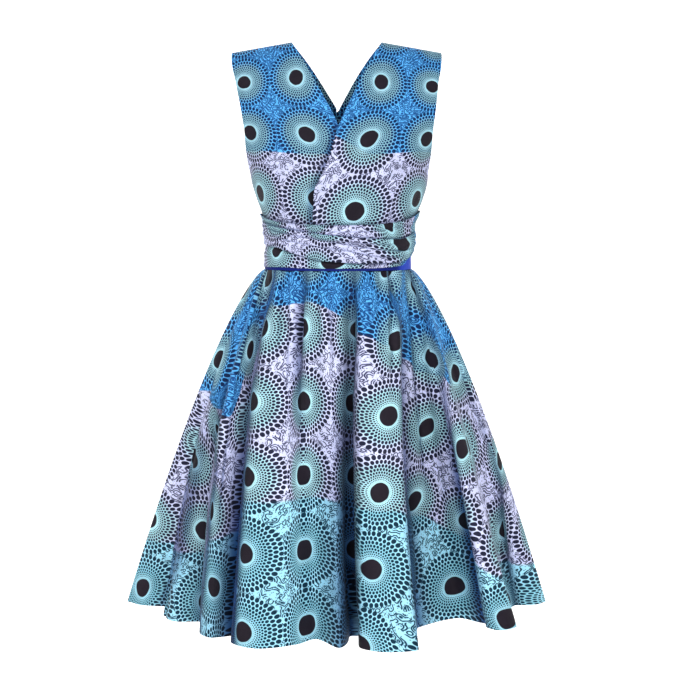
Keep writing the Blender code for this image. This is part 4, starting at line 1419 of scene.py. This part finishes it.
class DRESS_OT_stage(bpy.types.Operator):
    """Pale floor and backdrop, soft lights and the camera"""
    bl_idname = "dress.stage"
    bl_label = "Stage"

    def execute(self, context):
        rows = [(FLOOR_FRONT_Y, FLOOR_Z)]
        for k in range(CORNER_STEPS + 1):
            turn = math.radians(90.0 * k / CORNER_STEPS)
            rows.append((CORNER_Y + CORNER_RADIUS * math.sin(turn),
                         FLOOR_Z + CORNER_RADIUS * (1.0 - math.cos(turn))))
        rows.append((CORNER_Y + CORNER_RADIUS, BACKDROP_TOP_Z))
        floor = []
        faces = []
        for k, (y, z) in enumerate(rows):
            floor += [(-BACKDROP_HALF_WIDTH, y, z), (BACKDROP_HALF_WIDTH, y, z)]
            if k:
                faces.append((2 * k - 2, 2 * k - 1, 2 * k + 1, 2 * k))
        mesh = bpy.data.meshes.new("backdrop")
        mesh.from_pydata(floor, [], faces)
        mesh.shade_smooth()
        backdrop = bpy.data.objects.new("backdrop", mesh)
        context.scene.collection.objects.link(backdrop)
        material = bpy.data.materials.new("pale_paper")
        material.use_nodes = True
        nodes = Nodes(material.node_tree)
        shader = material.node_tree.nodes["Principled BSDF"]
        shader.inputs["Roughness"].default_value = PAPER_ROUGHNESS
        place = nodes.add("ShaderNodeTexCoord").outputs["Object"]
        nodes.feed(shader.inputs["Base Color"], nodes.mix(nodes.noise(place, 3.0), *PAPER))
        mesh.materials.append(material)
        world = bpy.data.worlds.new("studio")
        context.scene.world = world
        world.use_nodes = True
        world.node_tree.nodes["Background"].inputs[0].default_value = WHITE
        studio = context.scene.dress_studio
        world.node_tree.nodes["Background"].inputs[1].default_value = studio.sky
        context.scene.view_settings.view_transform = "Standard"
        for name, setting, place, size, target in LAMPS:
            light = bpy.data.lights.new(name, "AREA")
            light.energy = getattr(studio, setting)
            light.size = size
            lamp = bpy.data.objects.new(name, light)
            lamp.location = place
            aim = np.array(target) - np.array(place)
            flat = math.hypot(aim[0], aim[1])
            lamp.rotation_euler = (math.atan2(flat, -aim[2]), 0.0, math.atan2(-aim[0], aim[1]))
            context.scene.collection.objects.link(lamp)
        lens = bpy.data.cameras.new("camera")
        lens.sensor_width = SENSOR_MM
        lens.lens = FOCAL_PIXELS * SENSOR_MM / RENDER_PIXELS
        lens.shift_x = (RENDER_PIXELS / 2.0 - AXIS_COLUMN) / RENDER_PIXELS
        camera = bpy.data.objects.new("camera", lens)
        camera.location = CAMERA_AT
        camera.rotation_euler = (math.pi / 2.0 - CAMERA_PITCH, 0.0, 0.0)
        context.scene.collection.objects.link(camera)
        context.scene.camera = camera
        return {"FINISHED"}


class DRESS_PT_panel(bpy.types.Panel):
    """Dress tools"""
    bl_idname = "DRESS_PT_panel"
    bl_label = "Dress"
    bl_space_type = "VIEW_3D"
    bl_region_type = "UI"
    bl_category = "Dress"

    def draw(self, context):
        for step in STEPS:
            self.layout.operator(step.bl_idname)
        for place, kind in SETTINGS.items():
            box = self.layout.box()
            for key in kind.__annotations__:
                box.prop(getattr(context.scene, place), key)


STEPS = (DRESS_OT_skirt, DRESS_OT_bodice, DRESS_OT_waist, DRESS_OT_stage)
SETTINGS = {"dress_print": DRESS_PG_print, "dress_cloth": DRESS_PG_cloth, "dress_studio": DRESS_PG_studio}
CLASSES = tuple(SETTINGS.values()) + STEPS + (DRESS_PT_panel,)


def register():
    for item in CLASSES:
        bpy.utils.register_class(item)
    for place, kind in SETTINGS.items():
        setattr(bpy.types.Scene, place, bpy.props.PointerProperty(type=kind))


def unregister():
    for place in SETTINGS:
        delattr(bpy.types.Scene, place)
    for item in reversed(CLASSES):
        bpy.utils.unregister_class(item)


def main():
    register()
    bpy.ops.dress.skirt()
    bpy.ops.dress.bodice()
    bpy.ops.dress.waist()
    bpy.ops.dress.stage()


if __name__ == "__main__":
    main()
